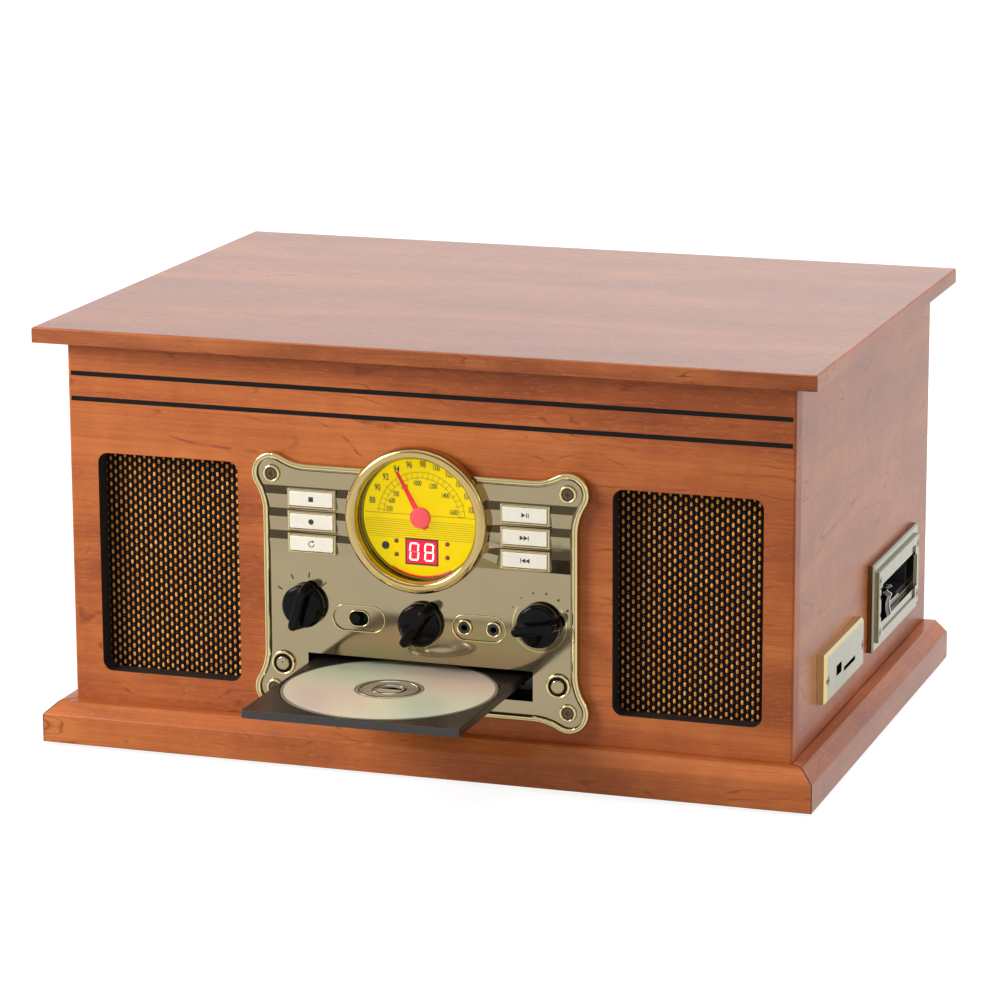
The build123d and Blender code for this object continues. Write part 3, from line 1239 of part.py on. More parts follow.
PIVOT_AT = on_hinge_ray(STAY_R, STAY_PIVOT_DROP)
STUD_REACH = 2 * STAY_R * cos(radians(STAY_TRACK_DROP - STAY_PIVOT_DROP))
STUD_AT = on_hinge_ray(STUD_REACH, STAY_TRACK_DROP)
OPEN_REACH = 2 * STAY_R * cos(radians(LID_OPEN_DEG + STAY_TRACK_DROP - STAY_PIVOT_DROP))
TRACK_MIDDLE = on_hinge_ray((STUD_REACH + OPEN_REACH) / 2, STAY_TRACK_DROP)
TRACK_RUN = STUD_REACH - OPEN_REACH
WALL_PLANE = Plane(origin=(-INNER_X, HINGE_Y, HINGE_Z), x_dir=(0, 1, 0), z_dir=(1, 0, 0))

with BuildPart() as stay_track:
    with BuildSketch(WALL_PLANE):
        with Locations(TRACK_MIDDLE):
            SlotCenterToCenter(TRACK_RUN + 8, TRACK_W, rotation=STAY_TRACK_DROP)
    extrude(amount=TRACK_T)
    with BuildSketch(WALL_PLANE.offset(TRACK_T)):
        with Locations(TRACK_MIDDLE):
            SlotCenterToCenter(TRACK_RUN + 1, 2 * (STUD_R + FIT_GAP), rotation=STAY_TRACK_DROP)
    extrude(amount=-(TRACK_T - 1), mode=Mode.SUBTRACT)

ARM_ANGLE = 2 * STAY_TRACK_DROP - STAY_PIVOT_DROP
ARM_MIDDLE = ((PIVOT_AT[0] + STUD_AT[0]) / 2, (PIVOT_AT[1] + STUD_AT[1]) / 2)
ARM_PLANE = WALL_PLANE.offset(TRACK_T + FIT_GAP)
with BuildPart() as lid_stay:
    with BuildSketch(ARM_PLANE):
        with Locations(ARM_MIDDLE):
            SlotCenterToCenter(STAY_R, STAY_W, rotation=ARM_ANGLE)
        with Locations(PIVOT_AT):
            Circle(ARM_PIN_R + SHAFT_PLAY, mode=Mode.SUBTRACT)
    extrude(amount=STAY_T)
    with BuildSketch(ARM_PLANE):
        with Locations(STUD_AT):
            Circle(STUD_R)
    extrude(amount=-(TRACK_T - 1))

BRACKET_PLANE = ARM_PLANE.offset(STAY_T + FIT_GAP)
with BuildPart() as stay_bracket:
    with BuildSketch(BRACKET_PLANE):
        with Locations(PIVOT_AT):
            Circle(5)
        with Locations((PIVOT_AT[0], PIVOT_AT[1] / 2)):
            Rectangle(10, -PIVOT_AT[1])
    extrude(amount=1.5)
    with BuildSketch(BRACKET_PLANE):
        with Locations((PIVOT_AT[0], -0.75)):
            Rectangle(26, 1.5)
    extrude(amount=12)
    with BuildSketch(BRACKET_PLANE):
        with Locations(PIVOT_AT):
            Circle(ARM_PIN_R)
    extrude(amount=-(STAY_T + FIT_GAP))

# ============================================================ record deck
RECESS_FLOOR = DECK_Z - RECESS_DEPTH
BEARING_BOTTOM = RECESS_FLOOR - DECK_T - BEARING_L + 6
MOTOR_AT = (
    PLATTER_X + PULLEY_REACH * cos(radians(PULLEY_DEG)),
    PLATTER_Y + PULLEY_REACH * sin(radians(PULLEY_DEG)),
)
ARM_AT = (ARM_X, ARM_Y)
REST_Y = ARM_Y - REST_REACH
SPEED_AT = (SWITCH_X, INNER_FRONT + SPEED_FRONT)
STOP_AT = (SWITCH_X, INNER_FRONT + STOP_FRONT)
with BuildPart() as deck_plate:
    with BuildSketch(Plane.XY.offset(DECK_Z)):
        with Locations((0, PLATTER_Y)):
            Rectangle(2 * (INNER_X + GROOVE_DEPTH - FIT_GAP), INNER_BACK - INNER_FRONT - 2 * FIT_GAP)
    extrude(amount=-DECK_T)
    with BuildSketch(Plane.XY.offset(DECK_Z)):
        with Locations((PLATTER_X, PLATTER_Y)):
            Circle(RECESS_R + DECK_T)
    extrude(amount=-(RECESS_DEPTH + DECK_T))
    with BuildSketch(Plane.XY.offset(DECK_Z)):
        with Locations((PLATTER_X, PLATTER_Y)):
            Circle(RECESS_R)
    extrude(amount=-RECESS_DEPTH, mode=Mode.SUBTRACT)
    # bearing sleeve under the platter and the raised tonearm base
    with BuildSketch(Plane.XY.offset(BEARING_BOTTOM)):
        with Locations((PLATTER_X, PLATTER_Y)):
            Circle(BEARING_R + SLEEVE_WALL)
    extrude(amount=RECESS_FLOOR - BEARING_BOTTOM)
    with BuildSketch(Plane.XY.offset(DECK_Z)):
        with Locations(ARM_AT):
            Circle(ARM_BASE_R)
    extrude(amount=ARM_BASE_H, taper=12)
    with BuildSketch(Plane.XY.offset(DECK_Z - DECK_T)):
        with Locations(ARM_AT):
            Circle(BEARING_R + SLEEVE_WALL)
    extrude(amount=-ARM_SLEEVE_L)
    # arm rest: a post with a seat that is open towards the platter
    with BuildSketch(Plane.XY.offset(DECK_Z)):
        with Locations((ARM_X + 1, REST_Y)):
            RectangleRounded(REST_W, REST_D, EDGE_R)
    extrude(amount=ARM_Z + 2)
    with BuildSketch(Plane.XZ.offset(-REST_Y)):
        with Locations((ARM_X, DECK_Z + ARM_Z)):
            Circle(ARM_R + FIT_GAP)
        with Locations((ARM_X - 10, DECK_Z + ARM_Z)):
            Rectangle(20, 2 * (ARM_R + FIT_GAP))
        with Locations((ARM_X + ARM_R + FIT_GAP - 12, DECK_Z + ARM_Z + 6)):
            Rectangle(24, 12)
    extrude(amount=8, both=True, mode=Mode.SUBTRACT)
    # holes for the bearings, the motor shaft and the two switches
    with BuildSketch(Plane.XY.offset(DECK_Z + ARM_BASE_H)):
        with Locations((PLATTER_X, PLATTER_Y), ARM_AT):
            Circle(BEARING_R + SHAFT_PLAY)
        with Locations(MOTOR_AT):
            Circle(MOTOR_HOLE_R)
        with Locations(SPEED_AT):
            Circle(SPEED_SHAFT_R + SHAFT_PLAY)
        with Locations(STOP_AT):
            SlotOverall(STOP_SLOT_L, STOP_SLOT_W, rotation=90)
    extrude(amount=-(ARM_BASE_H + RECESS_DEPTH + DECK_T + BEARING_L), mode=Mode.SUBTRACT)
    # collars that carry the speed lever's shaft
    with BuildSketch(Plane.XY.offset(DECK_Z - DECK_T)):
        with Locations(SPEED_AT):
            Circle(SPEED_COLLAR_R)
            Circle(SPEED_SHAFT_R + SHAFT_PLAY, mode=Mode.SUBTRACT)
    extrude(amount=-SPEED_COLLAR_L)

with BuildPart() as platter:
    with BuildSketch(upright_plane(PLATTER_X, PLATTER_Y, DECK_Z)):
        with BuildLine():
            Polyline(
                (0, PLATTER_TOP - PLATTER_WALL),
                (BEARING_R + 5, PLATTER_TOP - PLATTER_WALL),
                (BEARING_R + 5, PLATTER_TOP - PLATTER_WALL - 2),
                (BELT_RIM_R - BELT_RIM_WALL, PLATTER_TOP - PLATTER_WALL - 2),
                (BELT_RIM_R - BELT_RIM_WALL, PLATTER_TOP - PLATTER_SKIRT),
                (BELT_RIM_R, PLATTER_TOP - PLATTER_SKIRT),
                (BELT_RIM_R, PLATTER_TOP - PLATTER_WALL),
                (PLATTER_R - PLATTER_WALL, PLATTER_TOP - PLATTER_WALL),
                (PLATTER_R - PLATTER_WALL, PLATTER_TOP - PLATTER_SKIRT),
                (PLATTER_R, PLATTER_TOP - PLATTER_SKIRT),
                (PLATTER_R, PLATTER_TOP - 2),
                (PLATTER_R - 1, PLATTER_TOP),
                (0, PLATTER_TOP),
                close=True,
            )
        make_face()
    revolve(axis=Axis((PLATTER_X, PLATTER_Y, 0), (0, 0, 1)))
    with BuildSketch(Plane.XY.offset(DECK_Z + PLATTER_TOP)):
        with Locations((PLATTER_X, PLATTER_Y)):
            Circle(CENTRE_PIN_R)
    extrude(amount=CENTRE_PIN_H)
    fillet(platter.edges().group_by(Axis.Z)[-1], 1.5)
    with BuildSketch(Plane.XY.offset(DECK_Z + PLATTER_TOP)):
        with Locations((PLATTER_X, PLATTER_Y)):
            Circle(CENTRE_PIN_R + 1)
    extrude(amount=MAT_T)
    with BuildSketch(Plane.XY.offset(DECK_Z + PLATTER_TOP - PLATTER_WALL)):
        with Locations((PLATTER_X, PLATTER_Y)):
            Circle(BEARING_R + 3)
    extrude(amount=-(PLATTER_TOP - PLATTER_WALL + RECESS_DEPTH - FIT_GAP))
    with BuildSketch(Plane.XY.offset(DECK_Z)):
        with Locations((PLATTER_X, PLATTER_Y)):
            Circle(BEARING_R)
    extrude(amount=BEARING_BOTTOM + 1 - DECK_Z)

with BuildPart() as slip_mat:
    with BuildSketch(Plane.XY.offset(DECK_Z + PLATTER_TOP)):
        with Locations((PLATTER_X, PLATTER_Y)):
            Circle(MAT_R)
            Circle(CENTRE_PIN_R + 1.2, mode=Mode.SUBTRACT)
    extrude(amount=MAT_T)

with BuildPart() as motor_pulley:
    with BuildSketch(Plane.XY.offset(RECESS_FLOOR + 2)):
        with Locations(MOTOR_AT):
            Circle(PULLEY_R)
    extrude(amount=BELT_H + 4)
    with BuildSketch(Plane.XY.offset(RECESS_FLOOR + 2)):
        with Locations(MOTOR_AT):
            Circle(1.0)
    extrude(amount=-(DECK_T + 2 + 12))

with BuildPart() as platter_motor:
    with BuildSketch(Plane.XY.offset(RECESS_FLOOR - DECK_T)):
        with Locations(MOTOR_AT):
            Circle(MOTOR_R)
    extrude(amount=-MOTOR_H)
    chamfer(platter_motor.edges().group_by(Axis.Z)[0], 1.0)
    with BuildSketch(Plane.XY.offset(RECESS_FLOOR - DECK_T)):
        with Locations(MOTOR_AT):
            Circle(1.0 + SHAFT_PLAY)
    extrude(amount=-14, mode=Mode.SUBTRACT)


def belt_loop(slack):
    """Outline of the belt's inner face: two arcs and the two tangent runs between them."""
    big = BELT_RIM_R + FIT_GAP + slack
    small = PULLEY_R + FIT_GAP + slack
    lean = (big - small) / PULLEY_REACH
    rise = sqrt(1 - lean * lean)
    with BuildSketch() as loop:
        with BuildLine():
            upper = Line((big * lean, big * rise), (PULLEY_REACH + small * lean, small * rise))
            lower = Line((big * lean, -big * rise), (PULLEY_REACH + small * lean, -small * rise))
            ThreePointArc(upper @ 0, (-big, 0), lower @ 0)
            ThreePointArc(upper @ 1, (PULLEY_REACH + small, 0), lower @ 1)
        make_face()
    return loop.sketch


BELT_PLANE = Plane(
    origin=(PLATTER_X, PLATTER_Y, RECESS_FLOOR + 3.5),
    x_dir=(cos(radians(PULLEY_DEG)), sin(radians(PULLEY_DEG)), 0),
    z_dir=(0, 0, 1),
)
with BuildPart() as drive_belt:
    with BuildSketch(BELT_PLANE):
        add(belt_loop(BELT_T))
        add(belt_loop(0), mode=Mode.SUBTRACT)
    extrude(amount=BELT_H)

TURRET_Z = DECK_Z + ARM_BASE_H + FIT_GAP
CHEEK_GAP = ARM_R + FIT_GAP + 2.0
with BuildPart() as tonearm_turret:
    with BuildSketch(Plane.XY.offset(TURRET_Z)):
        with Locations(ARM_AT):
            Circle(TURRET_R)
    extrude(amount=TURRET_T)
    with BuildSketch(Plane.XY.offset(TURRET_Z + TURRET_T)):
        for side in (-1, 1):
            with Locations((ARM_X + side * (CHEEK_GAP + CHEEK_T / 2), ARM_Y)):
                Rectangle(CHEEK_T, CHEEK_D)
    extrude(amount=ARM_Z - ARM_BASE_H + TURRET_T)
    top_edges = tonearm_turret.edges().filter_by(Axis.X).group_by(Axis.Z)[-1]
    fillet(top_edges, 4.0)
    with BuildSketch(Plane.YZ.offset(ARM_X)):
        with Locations((ARM_Y, DECK_Z + ARM_Z)):
            Circle(ARM_PIN_R + SHAFT_PLAY)
    extrude(amount=CHEEK_GAP + CHEEK_T, both=True, mode=Mode.SUBTRACT)
    with BuildSketch(Plane.XY.offset(TURRET_Z)):
        with Locations(ARM_AT):
            Circle(BEARING_R)
    extrude(amount=-(ARM_BASE_H + FIT_GAP + DECK_T + 6))

SHELL_DIR = (-sin(radians(SHELL_DEG)), -cos(radians(SHELL_DEG)))
ELBOW = (ARM_X, ARM_Y - ARM_L)
STYLUS_AT = (ELBOW[0] + SHELL_DIR[0] * SHELL_L * 0.7, ELBOW[1] + SHELL_DIR[1] * SHELL_L * 0.7)
SHELL_PLANE = Plane(
    origin=(ELBOW[0], ELBOW[1], DECK_Z + ARM_Z),
    x_dir=(-SHELL_DIR[0], -SHELL_DIR[1], 0),
    z_dir=(0, 0, 1),
)
with BuildPart() as tonearm:
    with BuildSketch(Plane.XZ.offset(-(ARM_Y + WEIGHT_BACK - 4))):
        with Locations((ARM_X, DECK_Z + ARM_Z)):
            Circle(ARM_R)
    extrude(amount=WEIGHT_BACK - 4 + ARM_L)
    with BuildSketch(Plane.XZ.offset(-(ARM_Y + WEIGHT_BACK))):
        with Locations((ARM_X, DECK_Z + ARM_Z)):
            Circle(WEIGHT_R)
    extrude(amount=WEIGHT_L)
    chamfer(tonearm.edges().filter_by(GeomType.CIRCLE).group_by(Axis.Y)[-1], 1.0)
    with BuildSketch(Plane.YZ.offset(ARM_X)):
        with Locations((ARM_Y, DECK_Z + ARM_Z)):
            Circle(ARM_PIN_R)
    extrude(amount=CHEEK_GAP + CHEEK_T - 0.5, both=True)
    with BuildSketch(SHELL_PLANE.offset(-ARM_R)):
        with BuildLine():
            Polyline((4, 4.2), (-6, SHELL_W / 2), (-SHELL_L, SHELL_W / 2), (-SHELL_L, -SHELL_W / 2),
                     (-6, -SHELL_W / 2), (4, -4.2), close=True)
        make_face()
    extrude(amount=2 * ARM_R - 1)
    with BuildSketch(SHELL_PLANE.offset(-ARM_R)):
        with Locations((-SHELL_L * 0.62, 0)):
            Rectangle(18, 10)
    extrude(amount=-CARTRIDGE_H)
    with BuildSketch(SHELL_PLANE.offset(-ARM_R - CARTRIDGE_H)):
        with Locations((-SHELL_L * 0.8, 0)):
            Circle(1.0)
    extrude(amount=-STYLUS_H, taper=20)

with BuildPart() as speed_switch:
    with BuildSketch(Plane.XY.offset(DECK_Z + FIT_GAP)):
        with Locations(SPEED_AT):
            Circle(SPEED_DIAL_R)
    extrude(amount=SPEED_DIAL_H)
    with BuildSketch(Plane.XY.offset(DECK_Z + FIT_GAP + SPEED_DIAL_H)):
        with Locations((SPEED_AT[0], SPEED_AT[1] - SPEED_DIAL_R / 2)):
            SlotOverall(SPEED_GRIP_L, SPEED_GRIP_W, rotation=90)
    extrude(amount=SPEED_GRIP_W, taper=8)
    with BuildSketch(Plane.XY.offset(DECK_Z + FIT_GAP)):
        with Locations(SPEED_AT):
            Circle(SPEED_SHAFT_R)
    extrude(amount=-(DECK_T + SPEED_COLLAR_L - 1))

with BuildPart() as auto_stop_switch:
    with BuildSketch(Plane.XY.offset(DECK_Z - DECK_T)):
        with Locations((STOP_AT[0], STOP_AT[1] - STOP_TRAVEL / 2)):
            Rectangle(STOP_SLOT_W - 2 * FIT_GAP, STOP_GRIP_L)
    extrude(amount=DECK_T + 5)
    with BuildSketch(Plane.XY.offset(DECK_Z - DECK_T)):
        with Locations((STOP_AT[0], STOP_AT[1] - STOP_TRAVEL / 2)):
            Rectangle(*STOP_FLANGE)
    extrude(amount=-1.2)
    grip_top = auto_stop_switch.faces().sort_by(Axis.Z)[-1].edges()
    chamfer(grip_top, 0.8)

# ============================================================= power, back
CORE_AT = (TERMINAL_X - CORE_SHIFT, INNER_BACK - CORE_BACK)
BASE_TOP = BASE_Z + BASE_T
with BuildPart() as mains_transformer:
    with BuildSketch(Plane.XY.offset(BASE_TOP)):
        with Locations(CORE_AT):
            Rectangle(CORE_W, CORE_D)
    extrude(amount=CORE_H)
    with BuildSketch(Plane.XY.offset(BASE_TOP + (CORE_H - COIL_H) / 2)):
        with Locations(CORE_AT):
            RectangleRounded(COIL_W, COIL_D, EDGE_R)
    extrude(amount=COIL_H)
    with BuildSketch(Plane.XY.offset(BASE_TOP)):
        with Locations(CORE_AT):
            Rectangle(YOKE_W, YOKE_D)
            with GridLocations((YOKE_W + CORE_W) / 2, 1, 2, 1):
                Circle(YOKE_HOLE_R, mode=Mode.SUBTRACT)
    extrude(amount=YOKE_T)

MAIN_BOARD_AT = (MAIN_BOARD_X, INNER_BACK - MAIN_BOARD_BACK)
with BuildPart() as main_board:
    with BuildSketch(Plane.XY.offset(BASE_TOP + POST_H)):
        with Locations(MAIN_BOARD_AT):
            Rectangle(MAIN_BOARD_W, MAIN_BOARD_D)
    extrude(amount=PCB_T)
    with BuildSketch(Plane.XY.offset(BASE_TOP)):
        with Locations(MAIN_BOARD_AT):
            with GridLocations(MAIN_BOARD_W - 2 * POST_INSET, MAIN_BOARD_D - 2 * POST_INSET, 2, 2):
                Circle(POST_R)
    extrude(amount=POST_H)
    with BuildSketch(Plane.XY.offset(BASE_TOP + POST_H + PCB_T)):
        with Locations((MAIN_BOARD_AT[0] + MAIN_BOARD_W / 3, MAIN_BOARD_AT[1])):
            Rectangle(HEAT_SINK_W, HEAT_SINK_L)
        with Locations((MAIN_BOARD_AT[0] - MAIN_BOARD_W / 4, MAIN_BOARD_AT[1] + CAN_R)):
            with GridLocations(3 * CAN_R, 4 * CAN_R, 3, 2):
                Circle(CAN_R)
    extrude(amount=CAN_H)

PHONO_AT = [(TERMINAL_X - TERMINAL_W / 4, TERMINAL_Z + s * PHONO_PITCH / 2) for s in (-1, 1)]
INLET_AT = (TERMINAL_X + TERMINAL_W / 5, TERMINAL_Z)
with BuildPart() as rear_terminals:
    with BuildSketch(back_plane()):
        with Locations((TERMINAL_X, TERMINAL_Z)):
            RectangleRounded(TERMINAL_W, TERMINAL_H, 2)
    extrude(amount=-TERMINAL_T)
    with BuildSketch(back_plane()):
        with Locations(INLET_AT):
            SlotCenterToCenter(INLET_PITCH, 2 * (INLET_R + INLET_WALL))
    extrude(amount=INLET_DEPTH)
    with BuildSketch(back_plane(TERMINAL_T)):
        with Locations(*PHONO_AT):
            Circle(PHONO_R)
    extrude(amount=-PHONO_L)
    with BuildSketch(back_plane(TERMINAL_T + PHONO_L)):
        with Locations(*PHONO_AT):
            Circle(1.6)
    extrude(amount=PHONO_L, mode=Mode.SUBTRACT)
    with BuildSketch(back_plane(TERMINAL_T)):
        with Locations(INLET_AT):
            SlotCenterToCenter(INLET_PITCH, 2 * INLET_R)
    extrude(amount=INLET_DEPTH - 1, mode=Mode.SUBTRACT)
    with BuildSketch(back_plane(TERMINAL_T - 1.0)):
        with Locations(INLET_AT):
            with GridLocations(INLET_PITCH, 1, 2, 1):
                Circle(INLET_PIN_R)
    extrude(amount=INLET_DEPTH - 1)

PIECES = {
    "front_panel": front_panel.part,
    "left_side_panel": left_side_panel.part,
    "right_side_panel": right_side_panel.part,
    "back_panel": back_panel.part,
    "base_board": base_board.part,
    "plinth_moulding": plinth_moulding,
    "rubber_feet": rubber_feet.part,
    "stripe_inlays": stripe_inlays.part,
    "grille_cloths": grille_cloths.part,
    "speaker_frames": speaker_frames,
    "speaker_cones": speaker_cones,
    "faceplate": faceplate.part,
    "panel_screws": panel_screws,
    "dial_bezel": dial_bezel.part,
    "dial_lens": dial_lens.part,
    "dial_face": dial_face.part,
    "dial_needle": dial_needle.part,
    "display_module": display_module.part,
    "stop_button": stop_button.part,
    "record_button": record_button.part,
    "repeat_button": repeat_button.part,
    "play_button": play_button.part,
    "next_button": next_button.part,
    "previous_button": previous_button.part,
    "power_button": power_button.part,
    "eject_button": eject_button.part,
    "function_knob": function_knob.part,
    "tuning_knob": tuning_knob.part,
    "volume_knob": volume_knob.part,
    "band_switch": band_switch.part,
    "jack_sockets": jack_sockets.part,
    "control_board": control_board.part,
    "cd_tray": cd_tray.part,
    "cd_disc": cd_disc.part,
    "cd_mechanism": cd_mechanism.part,
    "usb_plate": usb_plate.part,
    "card_sockets": card_sockets.part,
    "cassette_frame": cassette_frame.part,
    "cassette_mechanism": cassette_mechanism.part,
    "cassette_lever": cassette_lever.part,
    "lid": lid.part,
    "lid_hinge_leaves": lid_hinge_leaves,
    "body_hinge_leaves": body_hinge_leaves,
    "hinge_pins": hinge_pins.part,
    "lid_stay": lid_stay.part,
    "stay_track": stay_track.part,
    "stay_bracket": stay_bracket.part,
    "deck_plate": deck_plate.part,
    "platter": platter.part,
    "slip_mat": slip_mat.part,
    "motor_pulley": motor_pulley.part,
    "platter_motor": platter_motor.part,
    "drive_belt": drive_belt.part,
    "tonearm_turret": tonearm_turret.part,
    "tonearm": tonearm.part,
    "speed_switch": speed_switch.part,
    "auto_stop_switch": auto_stop_switch.part,
    "mains_transformer": mains_transformer.part,
    "main_board": main_board.part,
    "rear_terminals": rear_terminals.part,
}

os.makedirs("parts", exist_ok=True)
for label, piece in PIECES.items():
    piece.label = label
    export_step(piece, f"parts/{label}.step")
print(f"{len(PIECES)} pieces, {CABINET_W + 2 * LID_OVERHANG:.0f} x {REAR_REACH + TRAY_REACH:.0f} mm")
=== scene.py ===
"""Looks of a retro stereo music centre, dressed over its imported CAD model.

The cabinet is veneered in cherry, the fascia is champagne-plated plastic with
a lit radio dial, and the speakers are covered in a beaded grille cloth.
Sizes are millimetres until a mesh is placed; Blender works in metres.
"""
import logging
import math
from contextlib import contextmanager
from dataclasses import dataclass, field
from enum import Enum
from typing import Any, Callable, Iterator, Sequence

import bmesh
import bpy
from mathutils import Matrix, Vector
from mathutils.kdtree import KDTree


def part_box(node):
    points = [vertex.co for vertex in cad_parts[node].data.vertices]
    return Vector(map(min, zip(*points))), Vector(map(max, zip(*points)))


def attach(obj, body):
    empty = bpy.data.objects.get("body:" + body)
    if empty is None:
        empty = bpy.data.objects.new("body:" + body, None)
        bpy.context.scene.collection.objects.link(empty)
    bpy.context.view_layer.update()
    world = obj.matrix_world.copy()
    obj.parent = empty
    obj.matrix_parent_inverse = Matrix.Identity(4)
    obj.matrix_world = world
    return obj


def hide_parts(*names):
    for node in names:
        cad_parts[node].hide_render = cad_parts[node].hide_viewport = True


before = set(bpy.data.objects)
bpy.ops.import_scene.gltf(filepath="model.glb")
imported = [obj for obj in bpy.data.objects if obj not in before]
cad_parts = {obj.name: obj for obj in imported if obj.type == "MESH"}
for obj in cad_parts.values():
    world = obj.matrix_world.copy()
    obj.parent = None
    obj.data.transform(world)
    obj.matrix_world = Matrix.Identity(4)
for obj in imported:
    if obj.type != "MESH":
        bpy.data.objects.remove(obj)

MM = 0.001
PHOTO_PIXELS = 1000
log = logging.getLogger("music_centre")

Point = tuple[float, float]
Profile = Sequence[Point]


# ------------------------------------------------------------------ places
class Way(Enum):
    """The way a finished face looks, with the turn that takes +Z there."""

    FRONT = Matrix.Rotation(math.radians(90), 4, "X")
    BACK = Matrix(((-1, 0, 0, 0), (0, 0, 1, 0), (0, 1, 0, 0), (0, 0, 0, 1)))
    RIGHT = Matrix(((0, 0, 1, 0), (1, 0, 0, 0), (0, 1, 0, 0), (0, 0, 0, 1)))
    UP = Matrix.Identity(4)


class Grain(Enum):
    """The axis along which a veneer's grain runs."""

    X = 0
    Y = 1


def on_front(x: float, z: float, out: float = 0.0) -> Vector:
    """Point x, z mm on the front board's face, out mm in front of it, in metres."""
    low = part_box("front_panel")[0]
    return Vector((x * MM, low.y - out * MM, low.z + z * MM))


def on_side(y: float, z: float, out: float = 0.0) -> Vector:
    """Point y mm behind the front and z up on the right side, out mm off it, in metres."""
    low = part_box("front_panel")[0]
    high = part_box("right_side_panel")[1]
    return Vector((high.x + out * MM, low.y + y * MM, low.z + z * MM))


def on_back(x: float, z: float, out: float = 0.0) -> Vector:
    """Point x, z mm on the back board's face, out mm behind it, in metres."""
    low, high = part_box("back_panel")
    return Vector((x * MM, high.y + out * MM, low.z + z * MM))


def middle(node: str) -> Vector:
    """Middle of a CAD node's box, in metres."""
    low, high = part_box(node)
    return (low + high) / 2


def seat(way: Way, at: Vector, turn_deg: float = 0.0) -> Matrix:
    """Matrix that takes a piece modelled about the origin, facing +Z, to its place.

    Args:
        way: the way the piece faces.
        at: its place, in metres.
        turn_deg: its turn about its own axis, anticlockwise as it is seen.

    Returns:
        The placing matrix.
    """
    return Matrix.Translation(at) @ way.value @ Matrix.Rotation(math.radians(turn_deg), 4, "Z")


# --------------------------------------------------------------- materials
def linear(code: str) -> tuple[float, float, float, float]:
    """Linear colour of an sRGB hex value such as #c9744a."""
    parts = [int(code[i:i + 2], 16) / 255 for i in (1, 3, 5)]
    return (*[p / 12.92 if p <= 0.04045 else ((p + 0.055) / 1.055) ** 2.4 for p in parts], 1.0)


def add_node(tree: bpy.types.NodeTree, kind: str, inputs: dict[Any, Any] | None = None,
             stops: Sequence[tuple[float, str]] = (), **settings: Any) -> bpy.types.Node:
    """Adds a node with its settings and links.

    Args:
        tree: the node tree.
        kind: the node's type, without its ShaderNode prefix.
        inputs: values or sockets to link, by the input's name or number.
        stops: positions and colours, for a colour ramp.
        **settings: the node's own properties.

    Returns:
        The node.
    """
    node = tree.nodes.new("ShaderNode" + kind)
    for key, value in settings.items():
        setattr(node, key, value)
    for key, value in (inputs or {}).items():
        if isinstance(value, bpy.types.NodeSocket):
            tree.links.new(value, node.inputs[key])
        else:
            node.inputs[key].default_value = value
    for number, (place, colour) in enumerate(stops):
        points = node.color_ramp.elements
        point = points[number] if number < 2 else points.new(place)
        point.position = place
        point.color = linear(colour)
    return node


@dataclass(frozen=True)
class Finish:
    """A named surface. Each kind of finish paints its own nodes."""

    name: str

    def build(self) -> bpy.types.Material:
        """The Blender material, made on first use."""
        found = bpy.data.materials.get(self.name)
        if found:
            return found
        material = bpy.data.materials.new(self.name)
        material.use_nodes = True
        self.paint(material.node_tree, material.node_tree.nodes["Principled BSDF"])
        return material

    def paint(self, tree: bpy.types.NodeTree, surface: bpy.types.Node) -> None:
        """Adds this finish's nodes and sets its shader."""
        raise NotImplementedError

    def pattern(self, tree: bpy.types.NodeTree, size: Sequence[float], detail: float = 3.0,
                distortion: float = 0.0) -> bpy.types.NodeSocket:
        """Noise over the object's own coordinates.

        Args:
            tree: the node tree.
            size: the pattern's size in mm along x, y and z.
            detail: octaves of finer noise.
            distortion: how far it swirls.

        Returns:
            The noise's factor, from 0 to 1.
        """
        here = add_node(tree, "TexCoord").outputs["Object"]
        scale = [1 / (part * MM) for part in size]
        spread = add_node(tree, "Mapping", {"Vector": here, "Scale": scale})
        noise = add_node(tree, "TexNoise", {"Vector": spread.outputs[0], "Scale": 1.0, "Detail": detail,
                                            "Distortion": distortion})
        return noise.outputs["Fac"]


